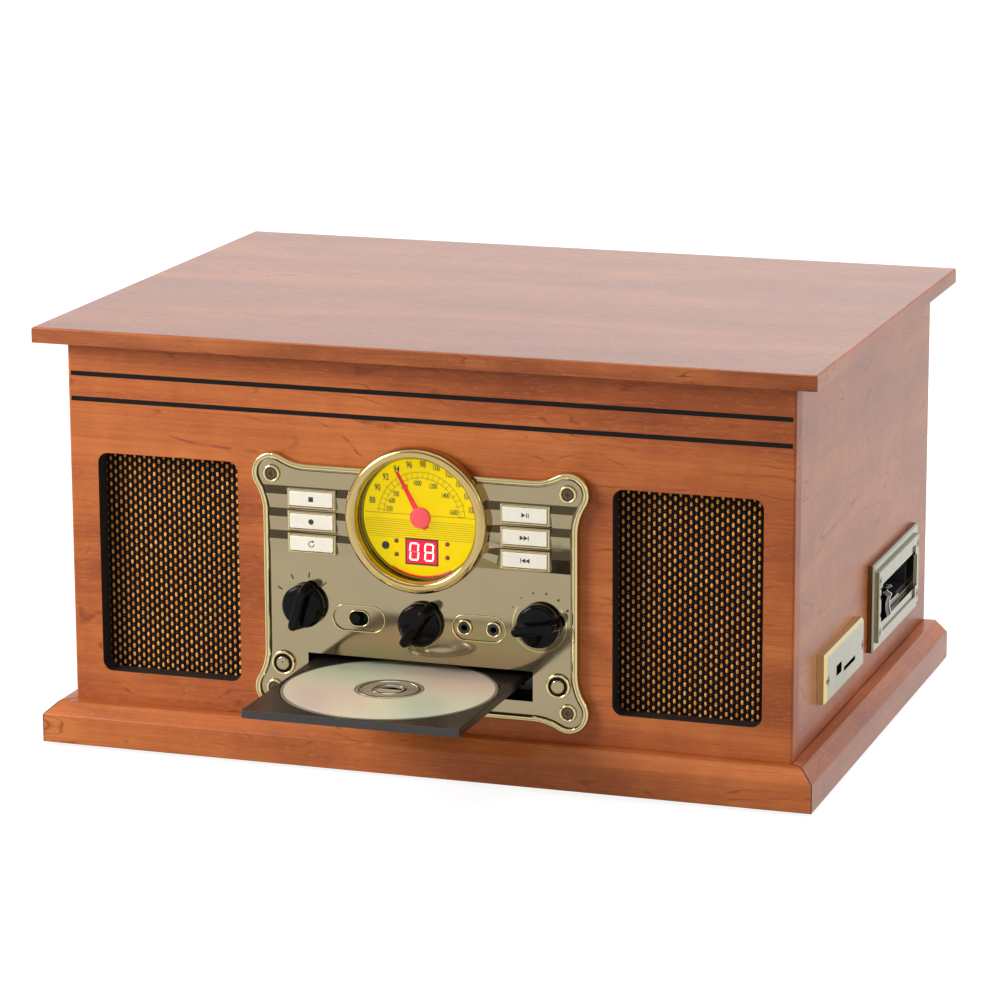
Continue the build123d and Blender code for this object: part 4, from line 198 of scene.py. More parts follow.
@dataclass(frozen=True)
class CherryVeneer(Finish):
    """Cherry veneer, sliced, glued to board and sprayed with satin lacquer.

    The eye sees a soft figure crossed by a faint curl, fine streaks, short pale
    flecks, thin dark growth lines that come and go, and a lacquer that turns
    pale where the view is low.
    """

    grain: Grain = Grain.X
    pale: str = "#c8743c"
    body: str = "#ab5a2c"
    dark: str = "#863f1d"
    figure: Point = (210.0, 46.0)
    curl: Point = (16.0, 30.0)
    streak: Point = (70.0, 1.2)
    fleck: Point = (5.0, 0.8)
    roughness: float = 0.40
    coat: float = 0.15

    def along(self, size: Point) -> list[float]:
        """Pattern size with its length along the grain."""
        spread = [size[1]] * 3
        spread[self.grain.value] = size[0]
        return spread

    def paint(self, tree: bpy.types.NodeTree, surface: bpy.types.Node) -> None:
        """Tone from figure, curl and streaks, then growth lines and flecks."""
        figure = self.pattern(tree, self.along(self.figure), 3.0, 0.6)
        curl = self.pattern(tree, self.along(self.curl), 2.0, 0.4)
        streak = self.pattern(tree, self.along(self.streak), 4.0, 0.1)
        flecks = self.pattern(tree, self.along(self.fleck), 1.0)
        tone = add_node(tree, "Math", {0: streak, 1: 0.42, 2: figure}, operation="MULTIPLY_ADD").outputs[0]
        tone = add_node(tree, "Math", {0: curl, 1: 0.3, 2: tone}, operation="MULTIPLY_ADD").outputs[0]
        share = add_node(tree, "MapRange", {"Value": tone, "From Min": 0.56, "From Max": 1.16}).outputs[0]
        wood = add_node(tree, "ValToRGB", {"Fac": share},
                        stops=((0.0, self.dark), (1.0, self.pale), (0.5, self.body))).outputs[0]
        rings = add_node(tree, "Math", {0: figure, 1: 12.0}, operation="MULTIPLY").outputs[0]
        folded = add_node(tree, "Math", {0: rings, 1: 0.5}, operation="PINGPONG").outputs[0]
        line = add_node(tree, "MapRange", {"Value": folded, "From Min": 0.0, "From Max": 0.08, "To Min": 1.0,
                                           "To Max": 0.0}).outputs[0]
        come_and_go = add_node(tree, "MapRange", {"Value": curl, "From Min": 0.47, "From Max": 0.6,
                                                  "To Max": 0.95}).outputs[0]
        drawn = add_node(tree, "Math", {0: line, 1: come_and_go}, operation="MULTIPLY").outputs[0]
        ringed = add_node(tree, "Mix", {"Factor": drawn, 6: wood, 7: linear(self.dark)}, data_type="RGBA").outputs[2]
        fleck = add_node(tree, "MapRange", {"Value": flecks, "From Min": 0.6, "From Max": 0.7,
                                            "To Max": 0.42}).outputs[0]
        flecked = add_node(tree, "Mix", {"Factor": fleck, 6: ringed, 7: linear(self.pale)}, data_type="RGBA").outputs[2]
        relief = add_node(tree, "Math", {0: streak, 1: fleck}, operation="SUBTRACT").outputs[0]
        bump = add_node(tree, "Bump", {"Height": relief, "Strength": 0.2, "Distance": 0.00006}).outputs[0]
        sheen = add_node(tree, "MapRange", {"Value": streak, "To Min": self.roughness - 0.04,
                                            "To Max": self.roughness + 0.06}).outputs[0]
        tree.links.new(flecked, surface.inputs["Base Color"])
        tree.links.new(bump, surface.inputs["Normal"])
        tree.links.new(sheen, surface.inputs["Roughness"])
        surface.inputs["IOR"].default_value = 1.33
        surface.inputs["Coat Weight"].default_value = self.coat
        surface.inputs["Coat Roughness"].default_value = 0.12


@dataclass(frozen=True)
class MouldedPlastic(Finish):
    """Injection-moulded ABS or polystyrene.

    A spark-eroded mould gives a fine even texture, a polished one a deep
    gloss; both wear a little shinier where they are touched.
    """

    colour: str = "#141211"
    roughness: float = 0.35
    texture: float = 0.5
    depth: float = 0.02
    coat: float = 0.0
    ior: float = 1.5

    def paint(self, tree: bpy.types.NodeTree, surface: bpy.types.Node) -> None:
        """Fine mould texture in the relief, slow patches in gloss and tone."""
        texture = self.pattern(tree, [self.texture] * 3, 2.0)
        handled = self.pattern(tree, [14.0] * 3, 3.0)
        deep = linear(self.colour)
        worn = tuple(min(1.0, part * 1.18 + 0.004) for part in deep[:3]) + (1.0,)
        tone = add_node(tree, "Mix", {"Factor": handled, 6: deep, 7: worn}, data_type="RGBA").outputs[2]
        gloss = add_node(tree, "MapRange", {"Value": handled, "From Min": 0.3, "From Max": 0.7,
                                            "To Min": self.roughness * 1.15,
                                            "To Max": self.roughness * 0.85}).outputs[0]
        bump = add_node(tree, "Bump", {"Height": texture, "Strength": 0.4, "Distance": self.depth * MM}).outputs[0]
        tree.links.new(tone, surface.inputs["Base Color"])
        tree.links.new(gloss, surface.inputs["Roughness"])
        tree.links.new(bump, surface.inputs["Normal"])
        surface.inputs["IOR"].default_value = self.ior
        surface.inputs["Coat Weight"].default_value = self.coat
        surface.inputs["Coat Roughness"].default_value = 0.04


@dataclass(frozen=True)
class PlatedPlastic(Finish):
    """ABS plated with nickel under a tinted lacquer.

    It mirrors its surroundings in champagne or gold, a little softened by the
    orange peel of the lacquer and by finger smears.
    """

    colour: str = "#cbb48c"
    roughness: float = 0.09
    peel: float = 5.0

    def paint(self, tree: bpy.types.NodeTree, surface: bpy.types.Node) -> None:
        """Metal with a faint orange peel and smeared gloss."""
        peel = self.pattern(tree, [self.peel] * 3, 2.0)
        smears = self.pattern(tree, [22.0, 22.0, 30.0], 4.0, 0.8)
        gloss = add_node(tree, "MapRange", {"Value": smears, "From Min": 0.35, "From Max": 0.75,
                                            "To Min": self.roughness * 0.7,
                                            "To Max": self.roughness * 1.5}).outputs[0]
        deep = linear(self.colour)
        dulled = tuple(part * 0.93 for part in deep[:3]) + (1.0,)
        tone = add_node(tree, "Mix", {"Factor": smears, 6: deep, 7: dulled}, data_type="RGBA").outputs[2]
        bump = add_node(tree, "Bump", {"Height": peel, "Strength": 0.12, "Distance": 0.00003}).outputs[0]
        surface.inputs["Metallic"].default_value = 1.0
        tree.links.new(tone, surface.inputs["Base Color"])
        tree.links.new(gloss, surface.inputs["Roughness"])
        tree.links.new(bump, surface.inputs["Normal"])


@dataclass(frozen=True)
class BareMetal(Finish):
    """Steel, brass or aluminium as it leaves the tool, brushed or tumbled.

    The scratches lie along one axis and stretch each highlight across it.
    """

    colour: str = "#9a958c"
    roughness: float = 0.32
    scratch: tuple[float, float, float] = (18.0, 0.25, 0.25)

    def paint(self, tree: bpy.types.NodeTree, surface: bpy.types.Node) -> None:
        """Metal with fine scratches in its relief, gloss and tone."""
        marks = self.pattern(tree, self.scratch, 3.0)
        gloss = add_node(tree, "MapRange", {"Value": marks, "To Min": self.roughness * 0.7,
                                            "To Max": self.roughness * 1.3}).outputs[0]
        bright = linear(self.colour)
        dim = tuple(part * 0.8 for part in bright[:3]) + (1.0,)
        tone = add_node(tree, "Mix", {"Factor": marks, 6: dim, 7: bright}, data_type="RGBA").outputs[2]
        bump = add_node(tree, "Bump", {"Height": marks, "Strength": 0.2, "Distance": 0.00003}).outputs[0]
        surface.inputs["Metallic"].default_value = 1.0
        tree.links.new(tone, surface.inputs["Base Color"])
        tree.links.new(gloss, surface.inputs["Roughness"])
        tree.links.new(bump, surface.inputs["Normal"])


@dataclass(frozen=True)
class TurnedSurface(Finish):
    """Metal or rubber with the fine rings that a lathe or a mould leaves.

    The rings run round one upright axis, so highlights spread into fans.
    """

    axis: tuple[float, float] = (0.0, 0.0)
    colour: str = "#b9b9bb"
    metallic: float = 1.0
    roughness: float = 0.3
    pitch: float = 1.2
    depth: float = 0.03

    def paint(self, tree: bpy.types.NodeTree, surface: bpy.types.Node) -> None:
        """Rings worked out from the distance to the axis."""
        here = add_node(tree, "TexCoord").outputs["Object"]
        centred = add_node(tree, "Mapping", {"Vector": here, "Location": (-self.axis[0], -self.axis[1], 0.0),
                                             "Scale": (1.0, 1.0, 0.0)}, vector_type="POINT").outputs[0]
        reach = add_node(tree, "VectorMath", {0: centred}, operation="LENGTH").outputs["Value"]
        turns = add_node(tree, "Math", {0: reach, 1: 1 / (self.pitch * MM)}, operation="MULTIPLY").outputs[0]
        ring = add_node(tree, "Math", {0: turns, 1: 0.5}, operation="PINGPONG").outputs[0]
        wear = self.pattern(tree, [30.0] * 3, 3.0)
        gloss = add_node(tree, "MapRange", {"Value": wear, "To Min": self.roughness * 0.75,
                                            "To Max": self.roughness * 1.25}).outputs[0]
        bright = linear(self.colour)
        dim = tuple(part * 0.82 for part in bright[:3]) + (1.0,)
        tone = add_node(tree, "Mix", {"Factor": wear, 6: dim, 7: bright}, data_type="RGBA").outputs[2]
        bump = add_node(tree, "Bump", {"Height": ring, "Strength": 0.5, "Distance": self.depth * MM}).outputs[0]
        surface.inputs["Metallic"].default_value = self.metallic
        tree.links.new(tone, surface.inputs["Base Color"])
        tree.links.new(gloss, surface.inputs["Roughness"])
        tree.links.new(bump, surface.inputs["Normal"])


@dataclass(frozen=True)
class Fibre(Finish):
    """Yarn, felt, paper or pressed board: a matt surface made of fibres.

    Every strand has its own tone, and the nap catches a soft edge of light.
    """

    colour: str = "#b27a3e"
    other: str = "#7d5128"
    strand: tuple[float, float, float] = (2.75, 2.75, 2.3)
    sheen: float = 0.2
    depth: float = 0.15

    def paint(self, tree: bpy.types.NodeTree, surface: bpy.types.Node) -> None:
        """Tone from strand to strand, with fine fibres in the relief."""
        tones = self.pattern(tree, self.strand, 1.0)
        fibres = self.pattern(tree, [0.35, 0.35, 0.9], 3.0)
        reach = add_node(tree, "MapRange", {"Value": tones, "From Min": 0.35, "From Max": 0.65}).outputs[0]
        tone = add_node(tree, "Mix", {"Factor": reach, 6: linear(self.colour), 7: linear(self.other)},
                        data_type="RGBA").outputs[2]
        bump = add_node(tree, "Bump", {"Height": fibres, "Strength": 0.6, "Distance": self.depth * MM}).outputs[0]
        tree.links.new(tone, surface.inputs["Base Color"])
        tree.links.new(bump, surface.inputs["Normal"])
        surface.inputs["Roughness"].default_value = 0.85
        surface.inputs["IOR"].default_value = 1.2
        surface.inputs["Sheen Weight"].default_value = self.sheen
        surface.inputs["Sheen Roughness"].default_value = 0.5


@dataclass(frozen=True)
class ClearLens(Finish):
    """Acrylic lens, moulded and polished: clear, with the lamps mirrored in it."""

    reflectance: float = 1.46
    haze: float = 0.0
    tint: str = "#fbfbf6"

    def paint(self, tree: bpy.types.NodeTree, surface: bpy.types.Node) -> None:
        """See-through, with an outer face that mirrors more towards the rim."""
        mirrored = add_node(tree, "Fresnel", {"IOR": self.reflectance}).outputs[0]
        inner = add_node(tree, "NewGeometry").outputs["Backfacing"]
        outer = add_node(tree, "Math", {0: 1.0, 1: inner}, operation="SUBTRACT").outputs[0]
        share = add_node(tree, "Math", {0: mirrored, 1: outer}, operation="MULTIPLY").outputs[0]
        through = add_node(tree, "BsdfTransparent", {"Color": linear(self.tint)}).outputs[0]
        # A milky layer, used on the disc's hub as painted reflection.
        milky = add_node(tree, "BsdfDiffuse", {"Color": linear(self.tint)}).outputs[0]
        clear = add_node(tree, "MixShader", {0: self.haze, 1: through, 2: milky}).outputs[0]
        smears = self.pattern(tree, [18.0] * 3, 2.0)
        gloss = add_node(tree, "MapRange", {"Value": smears, "To Min": 0.02, "To Max": 0.06}).outputs[0]
        mirror = add_node(tree, "BsdfGlossy", {"Color": linear("#ffffff"), "Roughness": gloss}).outputs[0]
        both = add_node(tree, "MixShader", {0: share, 1: clear, 2: mirror}).outputs[0]
        tree.nodes.remove(surface)
        tree.links.new(both, tree.nodes["Material Output"].inputs["Surface"])


@dataclass(frozen=True)
class LitPlastic(Finish):
    """Tinted plastic that gives light of its own: a dial card or a display with a lamp behind it, and painted glow on
    parts that are no lamps.
    """

    colour: str = "#f6dd00"
    glow: float = 0.25
    roughness: float = 0.45
    ior: float = 1.45
    shade: float = 1.0

    def paint(self, tree: bpy.types.NodeTree, surface: bpy.types.Node) -> None:
        """Slightly uneven print that also gives a little light of its own."""
        cloud = self.pattern(tree, [25.0] * 3, 2.0)
        bright = linear(self.colour)
        dim = tuple(part * 0.9 for part in bright[:3]) + (1.0,)
        tone = add_node(tree, "Mix", {"Factor": cloud, 6: dim, 7: bright}, data_type="RGBA").outputs[2]
        printed = tuple(part * self.shade for part in bright[:3]) + (1.0,)
        base = add_node(tree, "Mix", {"Factor": 1.0, 6: tone, 7: printed}, data_type="RGBA",
                        blend_type="MULTIPLY").outputs[2] if self.shade < 1 else tone
        tree.links.new(base, surface.inputs["Base Color"])
        tree.links.new(tone, surface.inputs["Emission Color"])
        surface.inputs["Emission Strength"].default_value = self.glow
        surface.inputs["IOR"].default_value = self.ior
        surface.inputs["Roughness"].default_value = self.roughness


@dataclass(frozen=True)
class DiscMetal(Finish):
    """Aluminium sputtered on polycarbonate and pressed with a spiral of pits.

    The pits split white light into broad pale green and pink rays; here these rays are painted into the colour round
    the axis, as painted reflections.
    """

    axis: tuple[float, float, float] = (0.0, 0.0, 0.0)
    colour: str = "#fff2d6"
    green: str = "#eaf2d2"
    pink: str = "#ffe6d2"

    def paint(self, tree: bpy.types.NodeTree, surface: bpy.types.Node) -> None:
        """Painted reflection rays from the angle round the axis, rings from the distance to it."""
        here = add_node(tree, "TexCoord").outputs["Object"]
        centred = add_node(tree, "Mapping", {"Vector": here, "Location": (-self.axis[0], -self.axis[1], 0.0)}).outputs[0]
        split = add_node(tree, "SeparateXYZ", {0: centred})
        angle = add_node(tree, "Math", {0: split.outputs[1], 1: split.outputs[0]}, operation="ARCTAN2").outputs[0]
        twice = add_node(tree, "Math", {0: angle, 1: 2.0}, operation="MULTIPLY").outputs[0]
        wave = add_node(tree, "Math", {0: twice}, operation="SINE").outputs[0]
        share = add_node(tree, "MapRange", {"Value": wave, "From Min": -1.0, "From Max": 1.0}).outputs[0]
        # painted reflection: the green and pink rays fixed in the colour
        rays = add_node(tree, "ValToRGB", {"Fac": share},
                        stops=((0.0, self.green), (1.0, self.pink), (0.5, self.colour))).outputs[0]
        reach = add_node(tree, "VectorMath", {0: centred}, operation="LENGTH").outputs["Value"]
        turns = add_node(tree, "Math", {0: reach, 1: 1 / (1.6 * MM)}, operation="MULTIPLY").outputs[0]
        rings = add_node(tree, "Math", {0: turns, 1: 0.5}, operation="PINGPONG").outputs[0]
        bump = add_node(tree, "Bump", {"Height": rings, "Strength": 0.05, "Distance": 0.00002}).outputs[0]
        tree.links.new(rays, surface.inputs["Base Color"])
        tree.links.new(bump, surface.inputs["Normal"])
        surface.inputs["Metallic"].default_value = 0.35
        surface.inputs["Roughness"].default_value = 0.25
        surface.inputs["Coat Weight"].default_value = 0.5
        surface.inputs["Coat Roughness"].default_value = 0.02


FRONT_VENEER = CherryVeneer("cherry_veneer_front", Grain.X, coat=0.0)
SIDE_VENEER = CherryVeneer("cherry_veneer_side", Grain.Y, roughness=0.3, coat=0.0)
# Lid top: the front's cherry in darker tones, as painted shade, with its own roughness and coat.
LID_TOP_PAINTED_SHADE = CherryVeneer("cherry_veneer_lid_top_painted_shade", Grain.X, "#9c5a34", "#85482a", "#6e3a22", roughness=0.26, coat=0.2)
# Lid's front edge: the front's cherry in darker tones, as painted shade.
LID_EDGE_PAINTED_SHADE = CherryVeneer("cherry_lid_edge_painted_shade", Grain.X, "#b86a38", "#985029", "#713419", (90.0, 20.0), coat=0.0)
# Front length of the plinth: the side moulding's cherry in lighter tones, as painted light.
PLINTH_FRONT_PAINTED_LIGHT = CherryVeneer("cherry_moulding_front_painted_light", Grain.X, "#cc7a40", "#b5612f", "#8b4520", (210.0, 24.0), coat=0.05)
SIDE_MOULDING = CherryVeneer("cherry_moulding_side", Grain.Y, "#c8743c", "#ab5a2c", "#863f1d", (210.0, 24.0), roughness=0.3, coat=0.05)
CHAMPAGNE = PlatedPlastic("champagne_plating", "#94876b")
SIDE_PLATING = PlatedPlastic("satin_nickel_plating", "#87846e", 0.14)
GOLD = PlatedPlastic("gold_plating", "#cdbb86", 0.10)
BEZEL_GOLD = PlatedPlastic("brushed_gold_plating", "#b39c66", 0.15)
# Dark bronze-brown on the cassette flange's edges: painted shadow.
PAINTED_FLANGE_SHADOW = PlatedPlastic("flange_edge_painted_shadow", "#6b5640", 0.25)
GLOSS_BLACK = MouldedPlastic("gloss_black_abs", "#040303", 0.09, 3.0, 0.004, ior=1.18)
INLAY = MouldedPlastic("inlay_lacquer", "#0c0807", 0.35, 3.0, 0.004, ior=1.2)
SATIN_BLACK = MouldedPlastic("satin_black_abs", "#151413", 0.38)
TRAY_BLACK = MouldedPlastic("tray_abs", "#1c1614", 0.30, 0.6, 0.005)
MATT_BLACK = MouldedPlastic("matt_black_abs", "#0b0a0a", 0.6)
IVORY = MouldedPlastic("ivory_abs", "#e4dfd0", 0.28, 2.0, 0.004)
PRINT = MouldedPlastic("black_print", "#241c12", 0.5)
PLATE_PRINT = MouldedPlastic("fired_enamel", "#3a3126", 0.4)
KEY_PRINT = MouldedPlastic("key_print", "#1a1714", 0.4)
DIAL_YELLOW = LitPlastic("lit_dial_card", "#ffe200", 0.76, ior=1.1, shade=0.3)
# Red arc that glows on the cup's lower wall: painted reflection of the display, no lamp.
PAINTED_RED_REFLECTION = LitPlastic("red_reflection_painted_glow", "#e8281c", 0.5)
DISPLAY_RED = LitPlastic("display_window", "#e8123a", 0.55, 0.2, 1.3)
DISPLAY_FRAME = MouldedPlastic("display_frame", "#4a0f22", 0.3)
DIGIT_WHITE = LitPlastic("display_digits", "#ffe4e0", 1.2, 0.3)
# Unlit bars, given a faint painted glow.
DIGIT_DIM = LitPlastic("display_unlit", "#f0506a", 0.3, 0.3)
# Needle and hub: red lacquer with a faint painted glow.
NEEDLE_RED = LitPlastic("red_needle_lacquer", "#ee1c2c", 0.12, 0.3)
HUB_RED = LitPlastic("needle_hub", "#f4505a", 0.15, 0.25)
LENS = ClearLens("acrylic_lens", 1.2)
LED_DARK = MouldedPlastic("unlit_led", "#7a3a10", 0.2)
YARN = Fibre("beaded_yarn", "#ffb35a", "#d07a30", sheen=0.0)
KNOT = Fibre("slate_yarn", "#484b50", "#222427", (3.0, 3.0, 2.5), 0.0)
CLOTH_BACK = Fibre("grille_backing", "#0d0906", "#070504", (3.0, 3.0, 3.0), 0.0)
CONE_PAPER = Fibre("pressed_cone_paper", "#2a2826", "#1c1b1a", (6.0, 6.0, 6.0), 0.1)
HARDBOARD = Fibre("pressed_hardboard", "#4a3528", "#3a291f", (1.5, 1.5, 1.5), 0.05, 0.05)
STEEL = BareMetal("zinc_plated_steel", "#a8a296", 0.3)
SCREW_METAL = BareMetal("bronzed_screws", "#5c4c36", 0.25, (0.6, 0.6, 0.6))
BRASS = BareMetal("brass_hinge", "#c9a35c", 0.25, (9.0, 0.3, 0.3))
CHROME = BareMetal("chromed_tube", "#d4d4d6", 0.08, (9.0, 0.6, 0.6))
IRON = BareMetal("transformer_iron", "#55504a", 0.5, (0.5, 6.0, 0.5))
BOARD_GREEN = MouldedPlastic("circuit_board", "#1f5a34", 0.35, 4.0, 0.02)
FOOT_RUBBER = MouldedPlastic("moulded_foot_rubber", "#161515", 0.75, 0.8, 0.05)
BELT_RUBBER = MouldedPlastic("belt_rubber", "#1d1b1a", 0.55, 0.6, 0.03)


# ---------------------------------------------------------------- modelling
def add_primitive(kind: str, **size: Any) -> bpy.types.Object:
    """Adds a primitive with nothing else selected.

    Args:
        kind: its name in the mesh operators, such as cube.
        **size: what the operator takes.

    Returns:
        The new object, active and selected.
    """
    bpy.ops.object.select_all(action="DESELECT")
    getattr(bpy.ops.mesh, f"primitive_{kind}_add")(**size)
    return bpy.context.object


@contextmanager
def editing(piece: bpy.types.Object) -> Iterator[None]:
    """Edit mode on one piece, with all of it selected."""
    bpy.ops.object.select_all(action="DESELECT")
    piece.select_set(True)
    bpy.context.view_layer.objects.active = piece
    bpy.ops.object.mode_set(mode="EDIT")
    bpy.ops.mesh.select_mode(type="VERT")
    bpy.ops.mesh.select_all(action="SELECT")
    yield
    bpy.ops.object.mode_set(mode="OBJECT")


def pick(piece: bpy.types.Object, domain: str, test: Callable[[Any], bool]) -> None:
    """Selects in edit mode by place or normal.

    Args:
        piece: the object in edit mode.
        domain: verts, edges or faces.
        test: says whether an element is wanted.
    """
    bpy.ops.mesh.select_mode(type={"verts": "VERT", "edges": "EDGE", "faces": "FACE"}[domain])
    bpy.ops.mesh.select_all(action="DESELECT")
    mesh = bmesh.from_edit_mesh(piece.data)
    for element in getattr(mesh, domain):
        if test(element):
            element.select_set(True)
    mesh.select_flush_mode()
    bmesh.update_edit_mesh(piece.data)


def apply_modifier(piece: bpy.types.Object, kind: str, **settings: Any) -> None:
    """Adds a modifier with its settings and applies it."""
    bpy.ops.object.select_all(action="DESELECT")
    piece.select_set(True)
    bpy.context.view_layer.objects.active = piece
    modifier = piece.modifiers.new(kind.lower(), kind)
    for key, value in settings.items():
        setattr(modifier, key, value)
    bpy.ops.object.modifier_apply(modifier=modifier.name)


def round_edges(piece: bpy.types.Object, width: float, segments: int = 3, angle: float = 35.0) -> None:
    """Rounds a piece's sharp edges by width mm."""
    apply_modifier(piece, "BEVEL", width=width * MM, segments=segments, limit_method="ANGLE",
                   angle_limit=math.radians(angle), use_clamp_overlap=True)


def join(pieces: Sequence[bpy.types.Object]) -> bpy.types.Object:
    """Joins pieces into the first of them."""
    bpy.ops.object.select_all(action="DESELECT")
    for piece in pieces:
        piece.select_set(True)
    bpy.context.view_layer.objects.active = pieces[0]
    if len(pieces) > 1:
        bpy.ops.object.join()
    return pieces[0]


def copy_to(piece: bpy.types.Object, places: Sequence[Matrix]) -> bpy.types.Object:
    """Copies a piece, each copy with its own mesh, to each place, and joins them."""
    copies = []
    for place in places:
        twin = piece.copy()
        twin.data = piece.data.copy()
        twin.data.transform(place)
        bpy.context.scene.collection.objects.link(twin)
        copies.append(twin)
    bpy.data.objects.remove(piece)
    return join(copies)


def outwards(piece: bpy.types.Object) -> None:
    """Merges doubles and points every face outwards."""
    with editing(piece):
        bpy.ops.mesh.remove_doubles(threshold=1e-6)
        bpy.ops.mesh.normals_make_consistent(inside=False)


def turned(profile: Profile, segments: int = 96) -> bpy.types.Object:
    """Turns a profile about Z: a ring is raised, resized and raised again.

    Args:
        profile: radius and height of each ring, in mm; a radius of 0 closes it.
        segments: sides of the ring.

    Returns:
        The turned mesh, about the origin.
    """
    radius, height = profile[0]
    piece = add_primitive("circle", vertices=segments, radius=radius * MM, fill_type="NOTHING")
    with editing(piece):
        bpy.ops.transform.translate(value=(0, 0, height * MM))
        for next_radius, next_height in profile[1:]:
            bpy.ops.mesh.extrude_region_move(
                TRANSFORM_OT_translate={"value": (0, 0, (next_height - height) * MM)})
            if next_radius != radius:
                share = next_radius / radius
                bpy.ops.transform.resize(value=(share, share, 1))
            radius, height = next_radius, next_height
            if radius == 0:
                break
    outwards(piece)
    return piece


def arc(centre: Point, radius: float, start: float, end: float, steps: int) -> list[Point]:
    """Points of a round in a profile, from one angle to the other in degrees."""
    angles = [math.radians(start + (end - start) * step / steps) for step in range(steps + 1)]
    return [(centre[0] + radius * math.cos(a), centre[1] + radius * math.sin(a)) for a in angles]


def block(width: float, depth: float, height: float, rounding: float = 0.0) -> bpy.types.Object:
    """Block on the XY plane, centred, with rounded edges; a start for other shapes."""
    piece = add_primitive("cube", size=1.0)
    with editing(piece):
        bpy.ops.transform.resize(value=(width * MM, depth * MM, height * MM))
        bpy.ops.transform.translate(value=(0, 0, height / 2 * MM))
    if rounding:
        round_edges(piece, rounding)
    return piece


def strip(width: float, height: float, thickness: float = 0.06) -> bpy.types.Object:
    """Printed strip: a flat bar as thick as a coat of ink, centred."""
    return block(width, height, thickness)


def cut_out(outline: Profile, thickness: float) -> bpy.types.Object:
    """Sheet cut to an outline: one corner is drawn round it, and the loop is filled and raised.

    Args:
        outline: its corners in mm.
        thickness: its thickness in mm, along Z.

    Returns:
        The sheet, where its outline says.
    """
    piece = add_primitive("plane", size=MM)
    with editing(piece):
        bpy.ops.mesh.merge(type="CENTER")
        last = (0.0, 0.0)
        for corner in outline:
            step = {"value": ((corner[0] - last[0]) * MM, (corner[1] - last[1]) * MM, 0)}
            if corner is outline[0]:
                bpy.ops.transform.translate(**step)
            else:
                bpy.ops.mesh.extrude_region_move(TRANSFORM_OT_translate=step)
            last = corner
        bpy.ops.mesh.select_all(action="SELECT")
        bpy.ops.mesh.edge_face_add()
        bpy.ops.mesh.select_all(action="SELECT")
        bpy.ops.mesh.extrude_region_move(TRANSFORM_OT_translate={"value": (0, 0, thickness * MM)})
    outwards(piece)
    return piece


def stadium(width: float, height: float, segments: int = 40) -> bpy.types.Object:
    """Flat stadium: a disc whose halves are pulled apart."""
    piece = add_primitive("circle", vertices=segments, radius=height / 2 * MM, fill_type="NGON")
    with editing(piece):
        for side in (-1, 1):
            pick(piece, "verts", lambda vert, side=side: vert.co.x * side > 1e-7)
            bpy.ops.transform.translate(value=(side * (width - height) / 2 * MM, 0, 0))
    return piece


def lettered(words: str, height: float, narrow: float = 0.72) -> bpy.types.Object:
    """Plain number as a thin printed mesh, centred on the origin.

    Args:
        words: the digits.
        height: their height in mm.
        narrow: how condensed they are.

    Returns:
        The mesh.
    """
    bpy.ops.object.select_all(action="DESELECT")
    bpy.ops.object.text_add()
    text = bpy.context.object
    text.data.body = words
    text.data.size = height * 1.38 * MM
    text.data.align_x = "CENTER"
    text.data.align_y = "CENTER"
    text.data.offset = 0.1 * MM
    text.data.extrude = 0.03 * MM
    bpy.ops.object.convert(target="MESH")
    piece = bpy.context.object
    with editing(piece):
        bpy.ops.transform.resize(value=(narrow, 1, 1), center_override=(0, 0, 0))
    return piece


def settle(piece: bpy.types.Object, name: str, finish: Finish, body: str, place: Matrix | None = None,
           instead_of: Sequence[str] = (), smooth: float = 35.0) -> bpy.types.Object:
    """Finishes a piece: its place, name, shading, material, body and CAD node.

    Args:
        piece: the modelled object.
        name: its name.
        finish: its material.
        body: the body that it moves with.
        place: matrix to its place, where it isn't modelled there.
        instead_of: CAD nodes that it stands for.
        smooth: the angle under which edges are shaded smooth, in degrees.

    Returns:
        The piece.
    """
    if place is not None:
        piece.data.transform(place)
    piece.name = name
    piece.data.name = name
    piece.data.materials.clear()
    piece.data.materials.append(finish.build())
    bpy.ops.object.select_all(action="DESELECT")
    piece.select_set(True)
    bpy.context.view_layer.objects.active = piece
    bpy.ops.object.shade_smooth_by_angle(angle=math.radians(smooth))
    apply_modifier(piece, "WEIGHTED_NORMAL", keep_sharp=True)
    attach(piece, body)
    if instead_of:
        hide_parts(*instead_of)
    log.info("%s: %d faces", name, len(piece.data.polygons))
    return piece


def refined(node: str, bevel: float = 0.0, segments: int = 2) -> bpy.types.Object:
    """Copy of a CAD node with its triangles merged, flat faces joined and edges eased.

    Args:
        node: the node's name.
        bevel: width of its eased edges in mm.
        segments: faces across an eased edge.

    Returns:
        The copy, in place.
    """
    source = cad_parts[node]
    twin = bpy.data.objects.new(node + "_dressed", source.data.copy())
    bpy.context.scene.collection.objects.link(twin)
    with editing(twin):
        bpy.ops.mesh.remove_doubles(threshold=2e-6)
        bpy.ops.mesh.dissolve_limited(angle_limit=math.radians(0.4))
    if bevel:
        round_edges(twin, bevel, segments)
    return twin


def face_finish(piece: bpy.types.Object, finish: Finish,
                test: Callable[[bpy.types.MeshPolygon], bool]) -> None:
    """Gives the faces that pass a test a second finish."""
    piece.data.materials.append(finish.build())
    number = len(piece.data.materials) - 1
    for face in piece.data.polygons:
        if test(face):
            face.material_index = number


def dress(node: str, finish: Finish) -> None:
    """Gives a CAD node, whose shape stays, its material."""
    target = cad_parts[node]
    if not target.data.materials:
        target.data.materials.append(None)
    for place in target.material_slots:
        place.material = finish.build()
    log.info("%s: dressed in %s", node, finish.name)


# ------------------------------------------------------------------- studio
@dataclass
class Lamp:
    """A softbox: where it stands, where it points, how wide and how strong it is."""

    name: str
    at: tuple[float, float, float]
    target: tuple[float, float, float]
    size: float
    watts: float


